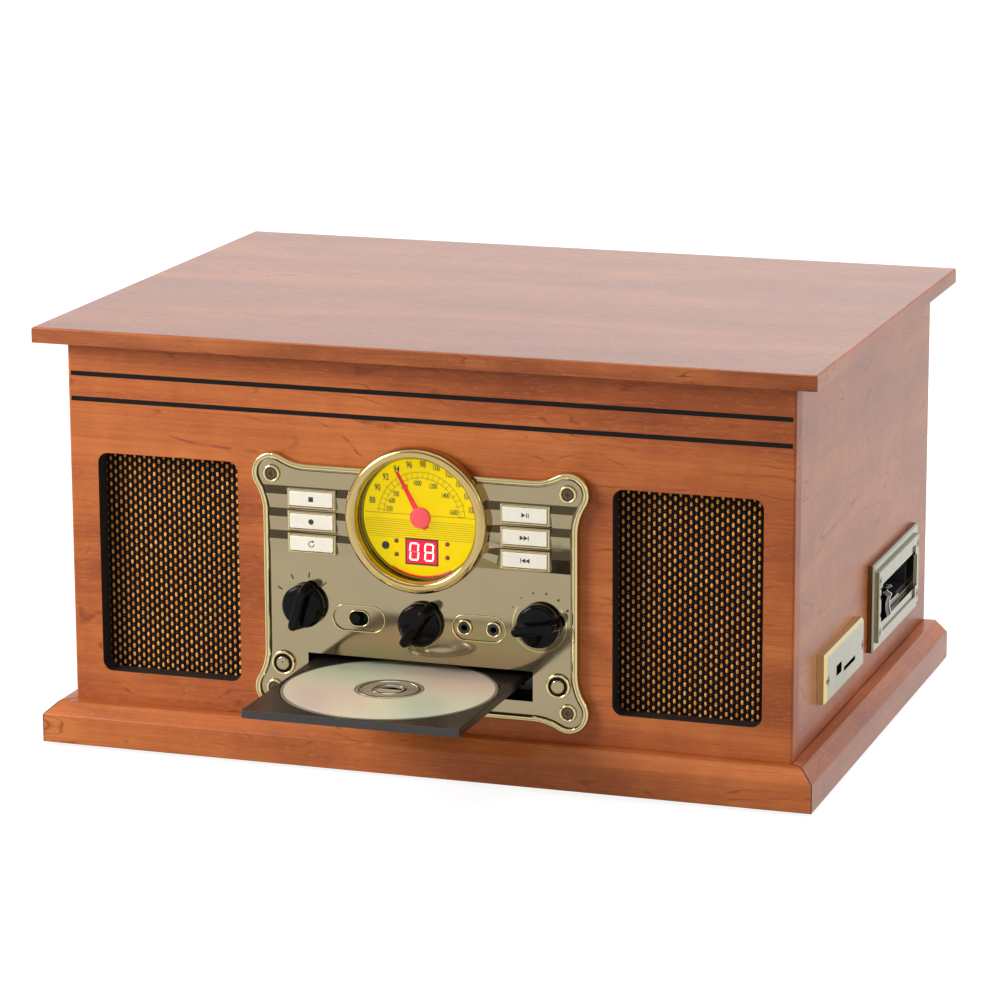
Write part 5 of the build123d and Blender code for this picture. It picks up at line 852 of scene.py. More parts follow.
@dataclass
class Studio:
    """White sweep in a darkened room, softboxes, and the camera of the photograph."""

    azimuth: float = 18.55
    elevation: float = 13.299
    roll: float = -0.229
    camera_at: tuple[float, float, float] = (754.72, -2114.09, 686.36)
    focal_pixels: float = 4158.28
    sensor: float = 36.0
    sweep_size: float = 14.0
    sweep_back: float = 3.2
    sweep_height: float = 4.0
    sweep_round: float = 1.0
    sweep_tone: str = "#8c8c8c"
    sweep_glow: float = 0.88
    card_size: Point = (5.0, 1.0)
    card_y: float = -3.4
    card_glow: float = 1.3
    flag_height: float = 3.0
    flag_glow: float = 0.22
    room: float = 0.12
    lamps: tuple[Lamp, ...] = (
        Lamp("key_softbox", (-1.0, -0.85, 0.74), (-0.1, 0.0, 0.12), 0.6, 20.0),
        Lamp("right_softbox", (2.1, 0.2, 1.2), (0.2, 0.0, 0.1), 1.0, 18.0),
        Lamp("top_softbox", (0.0, 0.3, 2.2), (0.0, -0.1, 0.1), 1.6, 29.0),
        Lamp("backdrop_lamp", (0.0, 1.2, 2.6), (0.0, 3.2, 0.9), 1.6, 75.0),
    )

    def build(self) -> None:
        """Builds the studio."""
        self.set_world()
        self.lay_sweep()
        self.stand_panels()
        for lamp in self.lamps:
            self.hang(lamp)
        self.place_camera()
        bpy.context.scene.view_settings.view_transform = "Standard"

    def shown(self, tree: bpy.types.NodeTree) -> bpy.types.NodeSocket:
        """1 where the camera, a mirror or clear plastic looks, and 0 for light on the object."""
        path = add_node(tree, "LightPath").outputs
        looked = add_node(tree, "Math", {0: path["Is Camera Ray"], 1: path["Is Glossy Ray"]}, operation="ADD").outputs[0]
        return add_node(tree, "Math", {0: looked, 1: path["Is Transmission Ray"]}, operation="ADD",
                        use_clamp=True).outputs[0]

    def set_world(self) -> None:
        """White to whatever looks at it, and a dim room as a light."""
        world = bpy.data.worlds.new("studio_surroundings")
        world.use_nodes = True
        bpy.context.scene.world = world
        tree = world.node_tree
        strength = add_node(tree, "MapRange", {"Value": self.shown(tree), "To Min": self.room, "To Max": 1.0}).outputs[0]
        tree.nodes["Background"].inputs["Color"].default_value = linear("#ffffff")
        tree.links.new(strength, tree.nodes["Background"].inputs["Strength"])

    def lay_sweep(self) -> None:
        """White sweep: the floor, turned up behind the object, that keeps a soft shadow."""
        sweep = add_primitive("plane", size=self.sweep_size)
        sweep.name = "studio_sweep"
        half = self.sweep_size / 2
        with editing(sweep):
            pick(sweep, "edges", lambda edge: all(vert.co.y > 0 for vert in edge.verts))
            bpy.ops.transform.translate(value=(0, self.sweep_back - half, 0))
            bpy.ops.mesh.extrude_region_move(TRANSFORM_OT_translate={"value": (0, 0, self.sweep_height)})
            pick(sweep, "edges", lambda edge: all(vert.co.y > 0 and vert.co.z == 0 for vert in edge.verts))
            bpy.ops.mesh.bevel(offset=self.sweep_round, segments=16)
        bpy.ops.object.shade_smooth()
        material = bpy.data.materials.new("white_sweep")
        material.use_nodes = True
        tree = material.node_tree
        surface = tree.nodes["Principled BSDF"]
        surface.inputs["Base Color"].default_value = linear(self.sweep_tone)
        surface.inputs["Roughness"].default_value = 0.9
        surface.inputs["Emission Color"].default_value = linear("#ffffff")
        glow = add_node(tree, "Math", {0: self.shown(tree), 1: self.sweep_glow}, operation="MULTIPLY").outputs[0]
        tree.links.new(glow, surface.inputs["Emission Strength"])
        sweep.data.materials.append(material)

    def stand_panels(self) -> None:
        """Low light panel behind the camera, for level mirrors, with a dark grey flag above it."""
        width, height = self.card_size
        self.stand_panel("light_panel", width, 0.0, height, "#f4f4f4", self.card_glow)
        self.stand_panel("grey_flag", width, height, self.flag_height, "#161616", self.flag_glow)

    def stand_panel(self, name: str, width: float, bottom: float, top: float, tone: str, glow: float) -> None:
        """Stands one panel in front of the object.

        Args:
            name: its name.
            width: its width in metres.
            bottom: height of its lower edge.
            top: height of its upper edge.
            tone: its colour.
            glow: light that it gives.
        """
        panel = add_primitive("plane", size=1.0)
        panel.name = name
        with editing(panel):
            bpy.ops.transform.rotate(value=math.radians(90), orient_axis="X", center_override=(0, 0, 0))
            bpy.ops.transform.resize(value=(width, 1, top - bottom))
            bpy.ops.transform.translate(value=(0, self.card_y, (bottom + top) / 2))
        material = bpy.data.materials.new(name)
        material.use_nodes = True
        surface = material.node_tree.nodes["Principled BSDF"]
        surface.inputs["Base Color"].default_value = linear(tone)
        surface.inputs["Emission Color"].default_value = linear("#fff6ea")
        surface.inputs["Emission Strength"].default_value = glow
        panel.data.materials.append(material)

    def hang(self, lamp: Lamp) -> None:
        """Hangs one softbox."""
        light = bpy.data.lights.new(lamp.name, "AREA")
        light.shape = "SQUARE"
        light.size = lamp.size
        light.energy = lamp.watts
        holder = bpy.data.objects.new(lamp.name, light)
        holder.location = lamp.at
        reach = Vector(lamp.target) - Vector(lamp.at)
        holder.rotation_euler = reach.to_track_quat("-Z", "Y").to_euler()
        bpy.context.scene.collection.objects.link(holder)

    def place_camera(self) -> None:
        """Puts the camera where the photograph was taken from."""
        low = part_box("front_panel")[0]
        turn, rise, lean = (math.radians(value) for value in (self.azimuth, self.elevation, self.roll))
        back = Vector((math.sin(turn) * math.cos(rise), -math.cos(turn) * math.cos(rise), math.sin(rise)))
        right = Vector((math.cos(turn), math.sin(turn), 0.0))
        up = back.cross(right)
        leaned_right = right * math.cos(lean) + up * math.sin(lean)
        leaned_up = up * math.cos(lean) - right * math.sin(lean)
        stand = Matrix((leaned_right, leaned_up, back)).transposed().to_4x4()
        stand.translation = Vector(self.camera_at) * MM + Vector((0.0, low.y, low.z))
        camera = bpy.data.cameras.new("camera")
        camera.sensor_width = self.sensor
        camera.lens = self.sensor * self.focal_pixels / PHOTO_PIXELS
        camera.clip_end = 50.0
        holder = bpy.data.objects.new("camera", camera)
        holder.matrix_world = stand
        bpy.context.scene.collection.objects.link(holder)
        bpy.context.scene.camera = holder


# ------------------------------------------------------------------ cabinet
@dataclass
class Cabinet:
    """Veneered boards, lid, plinth, inlaid stripes and feet."""

    board_edge: float = 0.5
    lid_edge: float = 0.7
    stripe_edge: float = 0.12
    stripe_height: float = 2.2
    stripe_swell: float = 1.25

    def build(self) -> None:
        """Veneers the boards and eases their edges."""
        boards = {
            "front_panel": (FRONT_VENEER, "cabinet_wood"),
            "left_side_panel": (SIDE_VENEER, "cabinet_wood"),
            "right_side_panel": (SIDE_VENEER, "cabinet_wood"),
        }
        for node, (finish, slot) in boards.items():
            settle(refined(node, self.board_edge), node + "_veneered", finish, "cabinet",
                   instead_of=[node])
        face_finish(bpy.data.objects["front_panel_veneered"], MATT_BLACK, self.inside_opening)
        lid = settle(refined("lid", self.lid_edge, 3), "lid_veneered", FRONT_VENEER, "lid",
                     instead_of=["lid"])
        # the lid's top gets the darker cherry: painted shade
        face_finish(lid, LID_TOP_PAINTED_SHADE, lambda face: face.normal.z > 0.8)
        face_finish(lid, SIDE_VENEER, lambda face: abs(face.normal.x) > 0.8)
        # the lid's front edge gets the darker cherry: painted shade
        face_finish(lid, LID_EDGE_PAINTED_SHADE, lambda face: face.normal.y < -0.8)
        self.build_plinth()
        self.lay_stripes()
        dress("base_board", HARDBOARD)
        dress("back_panel", HARDBOARD)
        dress("rubber_feet", FOOT_RUBBER)

    def inside_opening(self, face: bpy.types.MeshPolygon) -> bool:
        """Whether a face of the front board is a wall of a speaker opening, which is made matt black."""
        low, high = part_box("grille_cloths")
        inside = low.z + 3 * MM < face.center.z < high.z - 3 * MM and 108 * MM < abs(face.center.x) < high.x - 3 * MM
        return inside and abs(face.normal.y) < 0.6

    def lay_stripes(self) -> None:
        """Lays the two inlays, swollen a little over their grooves' edges by the lacquer."""
        piece = refined("stripe_inlays")
        low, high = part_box("stripe_inlays")
        half = self.stripe_height / 2 * MM
        with editing(piece):
            for level in (low.z + half, high.z - half):
                pick(piece, "verts", lambda vert, level=level: abs(vert.co.z - level) < 2 * half)
                bpy.ops.transform.resize(value=(1, 1, self.stripe_swell), center_override=(0, 0, level))
            bpy.ops.mesh.select_all(action="SELECT")
            bpy.ops.transform.translate(value=(0, -0.08 * MM, 0))
        round_edges(piece, self.stripe_edge)
        settle(piece, "stripe_inlays_lacquered", INLAY, "cabinet", instead_of=["stripe_inlays"])

    def build_plinth(self) -> None:
        """Parts the plinth at its mitres, so that each length has its own grain."""
        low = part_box("front_panel")[0]
        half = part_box("right_side_panel")[1].x
        # the front length gets the lighter cherry: painted light
        for side, finish in ((0, PLINTH_FRONT_PAINTED_LIGHT), (-1, SIDE_MOULDING), (1, SIDE_MOULDING)):
            piece = refined("plinth_moulding")

            def elsewhere(face: bmesh.types.BMFace, side: int = side) -> bool:
                """Whether a face belongs to another length."""
                centre = face.calc_center_median()
                beside = abs(centre.x) - half > low.y - centre.y
                return beside != bool(side) or (bool(side) and centre.x * side < 0)

            with editing(piece):
                pick(piece, "faces", elsewhere)
                bpy.ops.mesh.delete(type="FACE")
            name = {0: "plinth_front", -1: "plinth_left", 1: "plinth_right"}[side]
            round_edges(piece, 0.8, 3)
            settle(piece, name, finish, "cabinet", instead_of=["plinth_moulding"])


@dataclass
class SpeakerGrilles:
    """Grille cloth of vertical beaded yarns with slate knots between the beads."""

    column_pitch: float = 2.985
    bead_pitch: float = 4.995
    bead_width: float = 1.95
    bead_height: float = 3.3
    knot_width: float = 1.2
    knot_height: float = 0.9
    inner: float = 110.2
    outer: float = 195.6
    bottom: float = 41.8
    top: float = 170.0

    def build(self) -> None:
        """Hangs both cloths in their recesses."""
        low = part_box("grille_cloths")[0]
        settle(refined("grille_cloths"), "grille_backing", CLOTH_BACK, "cabinet",
               instead_of=["grille_cloths"])
        dress("speaker_frames", SATIN_BLACK)
        dress("speaker_cones", CONE_PAPER)
        for side, name in ((-1, "left"), (1, "right")):
            self.weave(side, name, low)

    def weave(self, side: int, name: str, low: Vector) -> None:
        """Weaves one cloth.

        Args:
            side: -1 for the left speaker, 1 for the right.
            name: its name.
            low: lowest corner of the cloths' box.
        """
        columns = 2 * math.ceil((self.outer - self.inner) / self.column_pitch / 2)
        rows = math.ceil((self.top - self.bottom) / self.bead_pitch)
        spare = columns * self.column_pitch - (self.outer - self.inner)
        start = (self.inner if side > 0 else -self.outer) - spare / 2
        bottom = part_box("front_panel")[0].z / MM + self.bottom - 0.5 * self.bead_pitch
        face = low.y / MM
        pieces = []
        for width, height, lift, shift in ((self.bead_width, self.bead_height, 0.0, 0.0),
                                           (self.knot_width, self.knot_height, -0.25, self.bead_pitch / 2)):
            bead = add_primitive("uv_sphere", segments=8, ring_count=6, radius=0.5 * MM)
            with editing(bead):
                bpy.ops.transform.resize(value=(width, 1.5, height))
            bead.data.transform(Matrix.Translation(Vector((
                start + self.column_pitch / 2, face + lift + 0.35, bottom + shift + self.bead_pitch / 2)) * MM))
            apply_modifier(bead, "ARRAY", count=rows, use_relative_offset=False, use_constant_offset=True,
                           constant_offset_displace=(0, 0, self.bead_pitch * MM))
            odd = bead.copy()
            odd.data = bead.data.copy()
            odd.data.transform(Matrix.Translation(Vector((self.column_pitch, 0, self.bead_pitch / 2)) * MM))
            bpy.context.scene.collection.objects.link(odd)
            pair = join([bead, odd])
            apply_modifier(pair, "ARRAY", count=columns // 2, use_relative_offset=False, use_constant_offset=True,
                           constant_offset_displace=(2 * self.column_pitch * MM, 0, 0))
            pieces.append(pair)
        for piece, finish, kind in zip(pieces, (YARN, KNOT), ("yarns", "knots")):
            settle(piece, f"{name}_grille_{kind}", finish, "cabinet", smooth=80.0)


# ------------------------------------------------------------------- fascia
@dataclass
class Fascia:
    """Champagne-plated faceplate with its trim, lines and screws."""

    plate_out: float = 4.0
    rib_levels: Point = (120.0, 160.5)
    edge: float = 0.25
    boss_r: float = 5.0
    screw_head_r: float = 2.8
    lobes: tuple[Point, ...] = ((-88.0, 41.8), (-88.0, 166.2), (86.0, 41.8), (86.0, 166.2))
    stadiums: tuple[Point, ...] = ((-37.0, 86.0), (34.2, 86.0))
    stadium_size: Point = (31.6, 15.4)
    volume_at: Point = (69.5, 91.0)
    function_at: Point = (-69.0, 91.5)
    line_width: float = 0.55
    rim_w: float = 3.2

    def build(self) -> None:
        """Dresses the plate and adds its trim."""
        plate = refined("faceplate", self.edge)
        self.crease_ribs(plate)
        settle(plate, "faceplate_plated", CHAMPAGNE, "cabinet", instead_of=["faceplate"],
               smooth=28.0)
        outline = self.trace_outline()
        top = on_front(0, 0, self.plate_out).y

        def reach(face: bpy.types.MeshPolygon) -> float:
            """Distance of a face from the plate's outline, in mm."""
            return outline.find((face.center.x, 0.0, face.center.z))[2] / MM

        face_finish(plate, GOLD, lambda face: reach(face) < self.rim_w + 0.05 and face.center.y < top + 3 * MM)
        face_finish(plate, SATIN_BLACK, lambda face: self.rim_w - 0.3 < reach(face) < self.rim_w + 1.3
                    and top + 0.2 * MM < face.center.y < top + 1.5 * MM)
        settle(refined("panel_screws", 0.12), "panel_screws_bronzed", SCREW_METAL, "cabinet",
               instead_of=["panel_screws"])
        self.ring_bosses()
        self.outline_recesses()
        self.draw_volume_ring()
        dress("control_board", BOARD_GREEN)

    def crease_ribs(self, plate: bpy.types.Object) -> None:
        """Marks the crests and valleys of the ribs sharp, so that each slope mirrors its own way."""
        bottom, top = (on_front(0, level).z for level in self.rib_levels)
        with editing(plate):
            pick(plate, "edges", lambda edge: len(edge.link_faces) == 2 and edge.calc_face_angle() > 0.1
                 and all(bottom < vert.co.z < top for vert in edge.verts)
                 and abs(edge.verts[0].co.z - edge.verts[1].co.z) < 0.05 * edge.calc_length())
            bpy.ops.mesh.mark_sharp()

    def trace_outline(self) -> KDTree:
        """Points every millimetre or so along the plate's outline, seen from the front."""
        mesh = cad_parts["faceplate"].data
        back = on_front(0, 0).y
        uses: dict[tuple, int] = {}
        for face in mesh.polygons:
            if face.normal.y > 0.99 and abs(face.center.y - back) < 0.02 * MM:
                for edge in face.edge_keys:
                    ends = tuple(sorted(tuple(round(part / MM, 3) for part in mesh.vertices[end].co) for end in edge))
                    uses[ends] = uses.get(ends, 0) + 1
        border = [ends for ends, count in uses.items() if count == 1]
        meets: dict[tuple, list[tuple]] = {}
        for start, end in border:
            meets.setdefault(start, []).append(end)
            meets.setdefault(end, []).append(start)
        reached = {min(meets)}
        waiting = list(reached)
        while waiting:
            fresh = [corner for corner in meets[waiting.pop()] if corner not in reached]
            reached.update(fresh)
            waiting += fresh
        points = []
        for start, end in border:
            if start in reached:
                first, last = Vector(start) * MM, Vector(end) * MM
                steps = max(1, round((last - first).length / MM))
                points += [first.lerp(last, step / steps) for step in range(steps)]
        tree = KDTree(len(points))
        for number, point in enumerate(points):
            tree.insert((point.x, 0.0, point.z), number)
        tree.balance()
        return tree

    def ring_bosses(self) -> None:
        """Gold ring round each corner screw."""
        ring = turned([(self.boss_r - 1.5, 1.0)] + arc((self.boss_r - 0.75, 1.05), 0.7, 180, 0, 8)
                      + [(self.boss_r + 0.2, 0.0)], 64)
        rings = copy_to(ring, [seat(Way.FRONT, on_front(x, z, self.plate_out)) for x, z in self.lobes])
        settle(rings, "screw_rings", GOLD, "cabinet", smooth=60.0)
        washer = turned([(self.boss_r - 1.5, 1.0), (self.boss_r - 1.6, 1.12), (self.screw_head_r, 1.12)], 64)
        washers = copy_to(washer, [seat(Way.FRONT, on_front(x, z, self.plate_out)) for x, z in self.lobes])
        settle(washers, "screw_washers", SATIN_BLACK, "cabinet")

    def outline_recesses(self) -> None:
        """Raised gold line round each stadium recess."""
        line = stadium(*self.stadium_size)
        with editing(line):
            bpy.ops.mesh.inset(thickness=self.line_width * MM, depth=0.0)
            bpy.ops.mesh.delete(type="FACE")
        apply_modifier(line, "SOLIDIFY", thickness=0.5 * MM, offset=1.0)
        round_edges(line, 0.18, 3)
        lines = copy_to(line, [seat(Way.FRONT, on_front(x, z, self.plate_out)) for x, z in self.stadiums])
        settle(lines, "recess_lines", GOLD, "cabinet", smooth=60.0)

    def draw_volume_ring(self) -> None:
        """Engraved arc round the volume knob, with dots for its scale, and marks for the selector."""
        arc_line = turned([(15.3, 0.0), (15.3, 0.22), (15.9, 0.22), (15.9, 0.0)], 96)
        with editing(arc_line):
            pick(arc_line, "faces", lambda face: face.calc_center_median().y > abs(
                face.calc_center_median().x) * 0.8)
            bpy.ops.mesh.delete(type="FACE")
        settle(arc_line, "volume_ring", GOLD, "cabinet",
               seat(Way.FRONT, on_front(*self.volume_at, self.plate_out)))
        face_finish(arc_line, PLATE_PRINT, lambda face: face.normal.y > -0.5)
        marks = []
        for number in range(4):
            angle = 150 - number * 34
            marks.append(seat(Way.FRONT, on_front(*self.function_at, self.plate_out), angle - 90)
                         @ Matrix.Translation((0, 17.5 * MM, 0)))
        mark = block(0.75, 3.0, 0.3, 0.1)
        settle(copy_to(mark, marks), "selector_marks", PLATE_PRINT, "cabinet")
        steps = [seat(Way.FRONT, on_front(*self.volume_at, self.plate_out), 60 - number * 24)
                 @ Matrix.Translation((0, (18.0 + 0.1 * number) * MM, 0)) for number in range(6)]
        dots = [turned([(0.35 + 0.09 * number, 0.0), (0.35 + 0.09 * number, 0.25), (0.0, 0.35)], 20)
                for number in range(6)]
        for dot, place in zip(dots, steps):
            dot.data.transform(place)
        settle(join(dots), "volume_steps", PLATE_PRINT, "cabinet")


@dataclass
class Dial:
    """Radio dial: gold bezel, yellow card with two scales, needle, display and lens."""

    at: Point = (-1.0, 146.0)
    plate_out: float = 4.0
    face_depth: float = 1.0
    bezel_r: float = 41.5
    bezel_rise: float = 8.0
    glass_r: float = 35.4
    lens_r: float = 36.5
    outer_numbers: tuple[int, ...] = tuple(range(88, 109, 2))
    outer_r: float = 30.0
    outer_start: float = 165.2
    outer_step: float = 15.4
    inner_numbers: tuple[tuple[int, float], ...] = (
        (530, 170.0), (600, 155.0), (700, 141.0), (800, 121.0), (1000, 97.0), (1200, 69.0), (1400, 43.0), (1600, 11.5))
    inner_r: float = 19.2
    band: Point = (22.3, 25.5)
    line_pitch: float = 1.25
    line_count: int = 9
    window: Point = (19.4, 15.1)
    window_drop: float = 20.0
    led_x: float = 15.0
    led_drops: Point = (14.6, 22.3)
    needle_length: float = 29.0
    needle_lean: float = 28.8

    def build(self) -> None:
        """Builds the dial from its card outwards."""
        self.build_bezel()
        self.build_card()
        self.print_scales()
        self.build_display()
        self.build_needle()

    def card(self, x: float = 0.0, z: float = 0.0, lift: float = 0.0) -> Vector:
        """Point on the card, from the dial's middle, lift mm towards the listener."""
        return on_front(self.at[0] + x, self.at[1] + z, lift - self.face_depth)

    def build_bezel(self) -> None:
        """Gold tube of the bezel, with the dark cup inside it."""
        top = self.bezel_rise
        profile = ([(self.bezel_r, 0.0), (self.bezel_r, 3.4)]
                   + arc((self.bezel_r - 3.1, top - 3.3), 3.1, 0, 90, 10)
                   + arc((self.glass_r + 2.1, top - 2.5), 2.3, 90, 180, 8)
                   + [(self.glass_r - 0.2, 2.1), (self.lens_r + 0.1, 2.1), (self.lens_r + 0.1, 0.0),
                      (self.bezel_r, 0.0)])
        settle(turned(profile, 160), "bezel", BEZEL_GOLD, "cabinet",
               seat(Way.FRONT, on_front(*self.at, self.plate_out)), ["dial_bezel"], 60.0)
        cup = turned([(self.glass_r - 0.15, 0.1), (self.glass_r - 0.15, 2.6), (self.glass_r - 0.7, 2.6),
                      (self.glass_r - 1.2, 0.1), (self.glass_r - 0.15, 0.1)], 128)
        settle(cup, "dial_cup", SIDE_PLATING, "cabinet", seat(Way.FRONT, self.card()), smooth=50.0)
        lens = [(self.lens_r, 0.0), (self.lens_r, 0.8), (35.3, 1.0), (34.9, 1.5), (34.2, 2.0), (33.2, 2.5),
                (31.5, 3.0), (28.0, 3.5), (23.0, 3.95), (17.0, 4.25), (11.0, 4.45), (5.0, 4.57), (0.0, 4.6)]
        # A glowing red arc on the lower wall of the cup: painted reflection of the display.
        glow = turned([(self.glass_r - 1.9, 0.05), (self.glass_r - 1.3, 0.3), (self.glass_r - 1.1, 0.05)], 128)
        with editing(glow):
            pick(glow, "faces", lambda face: face.calc_center_median().y > -29 * MM)
            bpy.ops.mesh.delete(type="FACE")
        settle(glow, "dial_red_reflection_painted", PAINTED_RED_REFLECTION, "cabinet", seat(Way.FRONT, self.card()))
        settle(turned(lens, 128), "lens", LENS, "cabinet",
               seat(Way.FRONT, on_front(*self.at, self.plate_out)), ["dial_lens"], 80.0)

    def build_card(self) -> None:
        """Yellow card, with the LEDs and the sensor that look through it."""
        settle(refined("dial_face"), "dial_card_printed", DIAL_YELLOW, "cabinet", instead_of=["dial_face"])
        led = turned([(1.3, 0.0), (1.25, 0.25), (0.8, 0.5), (0.0, 0.6)], 32)
        places = [seat(Way.FRONT, self.card(side * self.led_x, -drop)) for side in (-1, 1)
                  for drop in self.led_drops]
        settle(copy_to(led, places), "dial_leds", LED_DARK, "cabinet", smooth=60.0)
        sensor = turned([(2.3, 0.0), (2.2, 0.3), (1.5, 0.35), (1.4, 0.1), (0.0, 0.1)], 40)
        settle(sensor, "remote_sensor", SATIN_BLACK, "cabinet", seat(Way.FRONT, self.card(-21.4, -17.6)))

    def print_scales(self) -> None:
        """Numbers, scale band, ticks and the fine lines under the hub."""
        pieces = []
        for number, value in enumerate(self.outer_numbers):
            angle = math.radians(self.outer_start - number * self.outer_step)
            figure = lettered(str(value), 3.7, 0.7 if value < 100 else 0.58)
            figure.data.transform(seat(Way.FRONT, self.card(self.outer_r * math.cos(angle),
                                                            self.outer_r * math.sin(angle))))
            pieces.append(figure)
        for value, degrees in self.inner_numbers:
            angle = math.radians(degrees)
            figure = lettered(str(value), 2.9, 0.62)
            figure.data.transform(seat(Way.FRONT, self.card(self.inner_r * math.cos(angle),
                                                            self.inner_r * math.sin(angle))))
            pieces.append(figure)
        for radius in self.band:
            ring = turned([(radius - 0.11, 0.0), (radius - 0.11, 0.06), (radius + 0.11, 0.06), (radius + 0.11, 0.0)], 128)
            with editing(ring):
                pick(ring, "faces", lambda face: face.calc_center_median().y < 1.2 * MM)
                bpy.ops.mesh.delete(type="FACE")
            ring.data.transform(seat(Way.FRONT, self.card()))
            pieces.append(ring)
        for number in range(23):
            angle = 180.0 - number * self.outer_step / 2 - 7.0
            inner = self.band[0] if number % 2 else self.band[0] - 1.2
            length = self.band[1] - inner + (1.0 if number % 4 == 0 else 0.0)
            tick = strip(0.22, length)
            tick.data.transform(seat(Way.FRONT, self.card(), angle - 90)
                                @ Matrix.Translation((0, (inner + length / 2) * MM, 0)))
            pieces.append(tick)
        level = strip(2 * 33.5, 0.24)
        level.data.transform(seat(Way.FRONT, self.card(0, 1.0)))
        pieces.append(level)
        for number in range(self.line_count):
            drop = 2.4 + number * self.line_pitch
            line = strip(2 * math.sqrt(33.6 ** 2 - drop ** 2), 0.16)
            line.data.transform(seat(Way.FRONT, self.card(0, -drop)))
            pieces.append(line)
        settle(join(pieces), "dial_print", PRINT, "cabinet")

    def build_display(self) -> None:
        """Red window with two seven-bar digits, and the module behind it."""
        dress("display_module", SATIN_BLACK)
        window = block(self.window[0] - 1.8, self.window[1] - 2.0, 0.55, 0.15)
        settle(window, "display_window_red", DISPLAY_RED, "cabinet",
               seat(Way.FRONT, self.card(0, -self.window_drop, -0.2)))
        surround = block(self.window[0] + 0.2, self.window[1] + 0.2, 0.4, 0.1)
        settle(surround, "display_surround", DISPLAY_FRAME, "cabinet",
               seat(Way.FRONT, self.card(0, -self.window_drop, -0.3)))
        bar_long, bar = 4.1, 0.95
        bars = {"a": (0, 1, 0), "g": (0, 0, 0), "d": (0, -1, 0), "f": (-1, 1, 1), "b": (1, 1, 1), "e": (-1, -1, 1),
                "c": (1, -1, 1)}
        lit = {-4.4: "abcdef", 4.4: "abcdefg"}
        bright = []
        dull = []
        for centre, names in lit.items():
            for key, (across, level, upright) in bars.items():
                stick = block(bar_long, bar, 0.12, 0.04)
                if upright:
                    place = (centre + across * 2.35, level * 2.35)
                else:
                    place = (centre, level * 4.7)
                stick.data.transform(seat(Way.FRONT, self.card(place[0], place[1] - self.window_drop, 0.3),
                                          84.0 if upright else 0.0))
                (bright if key in names else dull).append(stick)
        settle(join(bright), "display_digits_lit", DIGIT_WHITE, "cabinet")
        settle(join(dull), "display_bars_unlit", DIGIT_DIM, "cabinet")

    def build_needle(self) -> None:
        """Tapered red pointer with its domed hub."""
        pointer = block(3.9, self.needle_length + 7.0, 0.8)
        with editing(pointer):
            bpy.ops.transform.translate(value=(0, (self.needle_length - 7.0) / 2 * MM, 0))
            pick(pointer, "verts", lambda vert: vert.co.y > 0)
            bpy.ops.transform.resize(value=(0.42, 1, 1))
        round_edges(pointer, 0.25)
        lift = 1.4
        place = seat(Way.FRONT, self.card(0, 0, lift), self.needle_lean)
        settle(pointer, "needle_pointer", NEEDLE_RED, "needle", place, ["dial_needle"])
        hub = turned([(6.0, 0.0), (6.0, 0.8)] + arc((5.3, 1.3), 0.7, 0, 80, 5) + [(3.0, 2.3), (0.0, 2.4)], 64)
        settle(hub, "needle_hub_cap", HUB_RED, "needle", place, smooth=50.0)


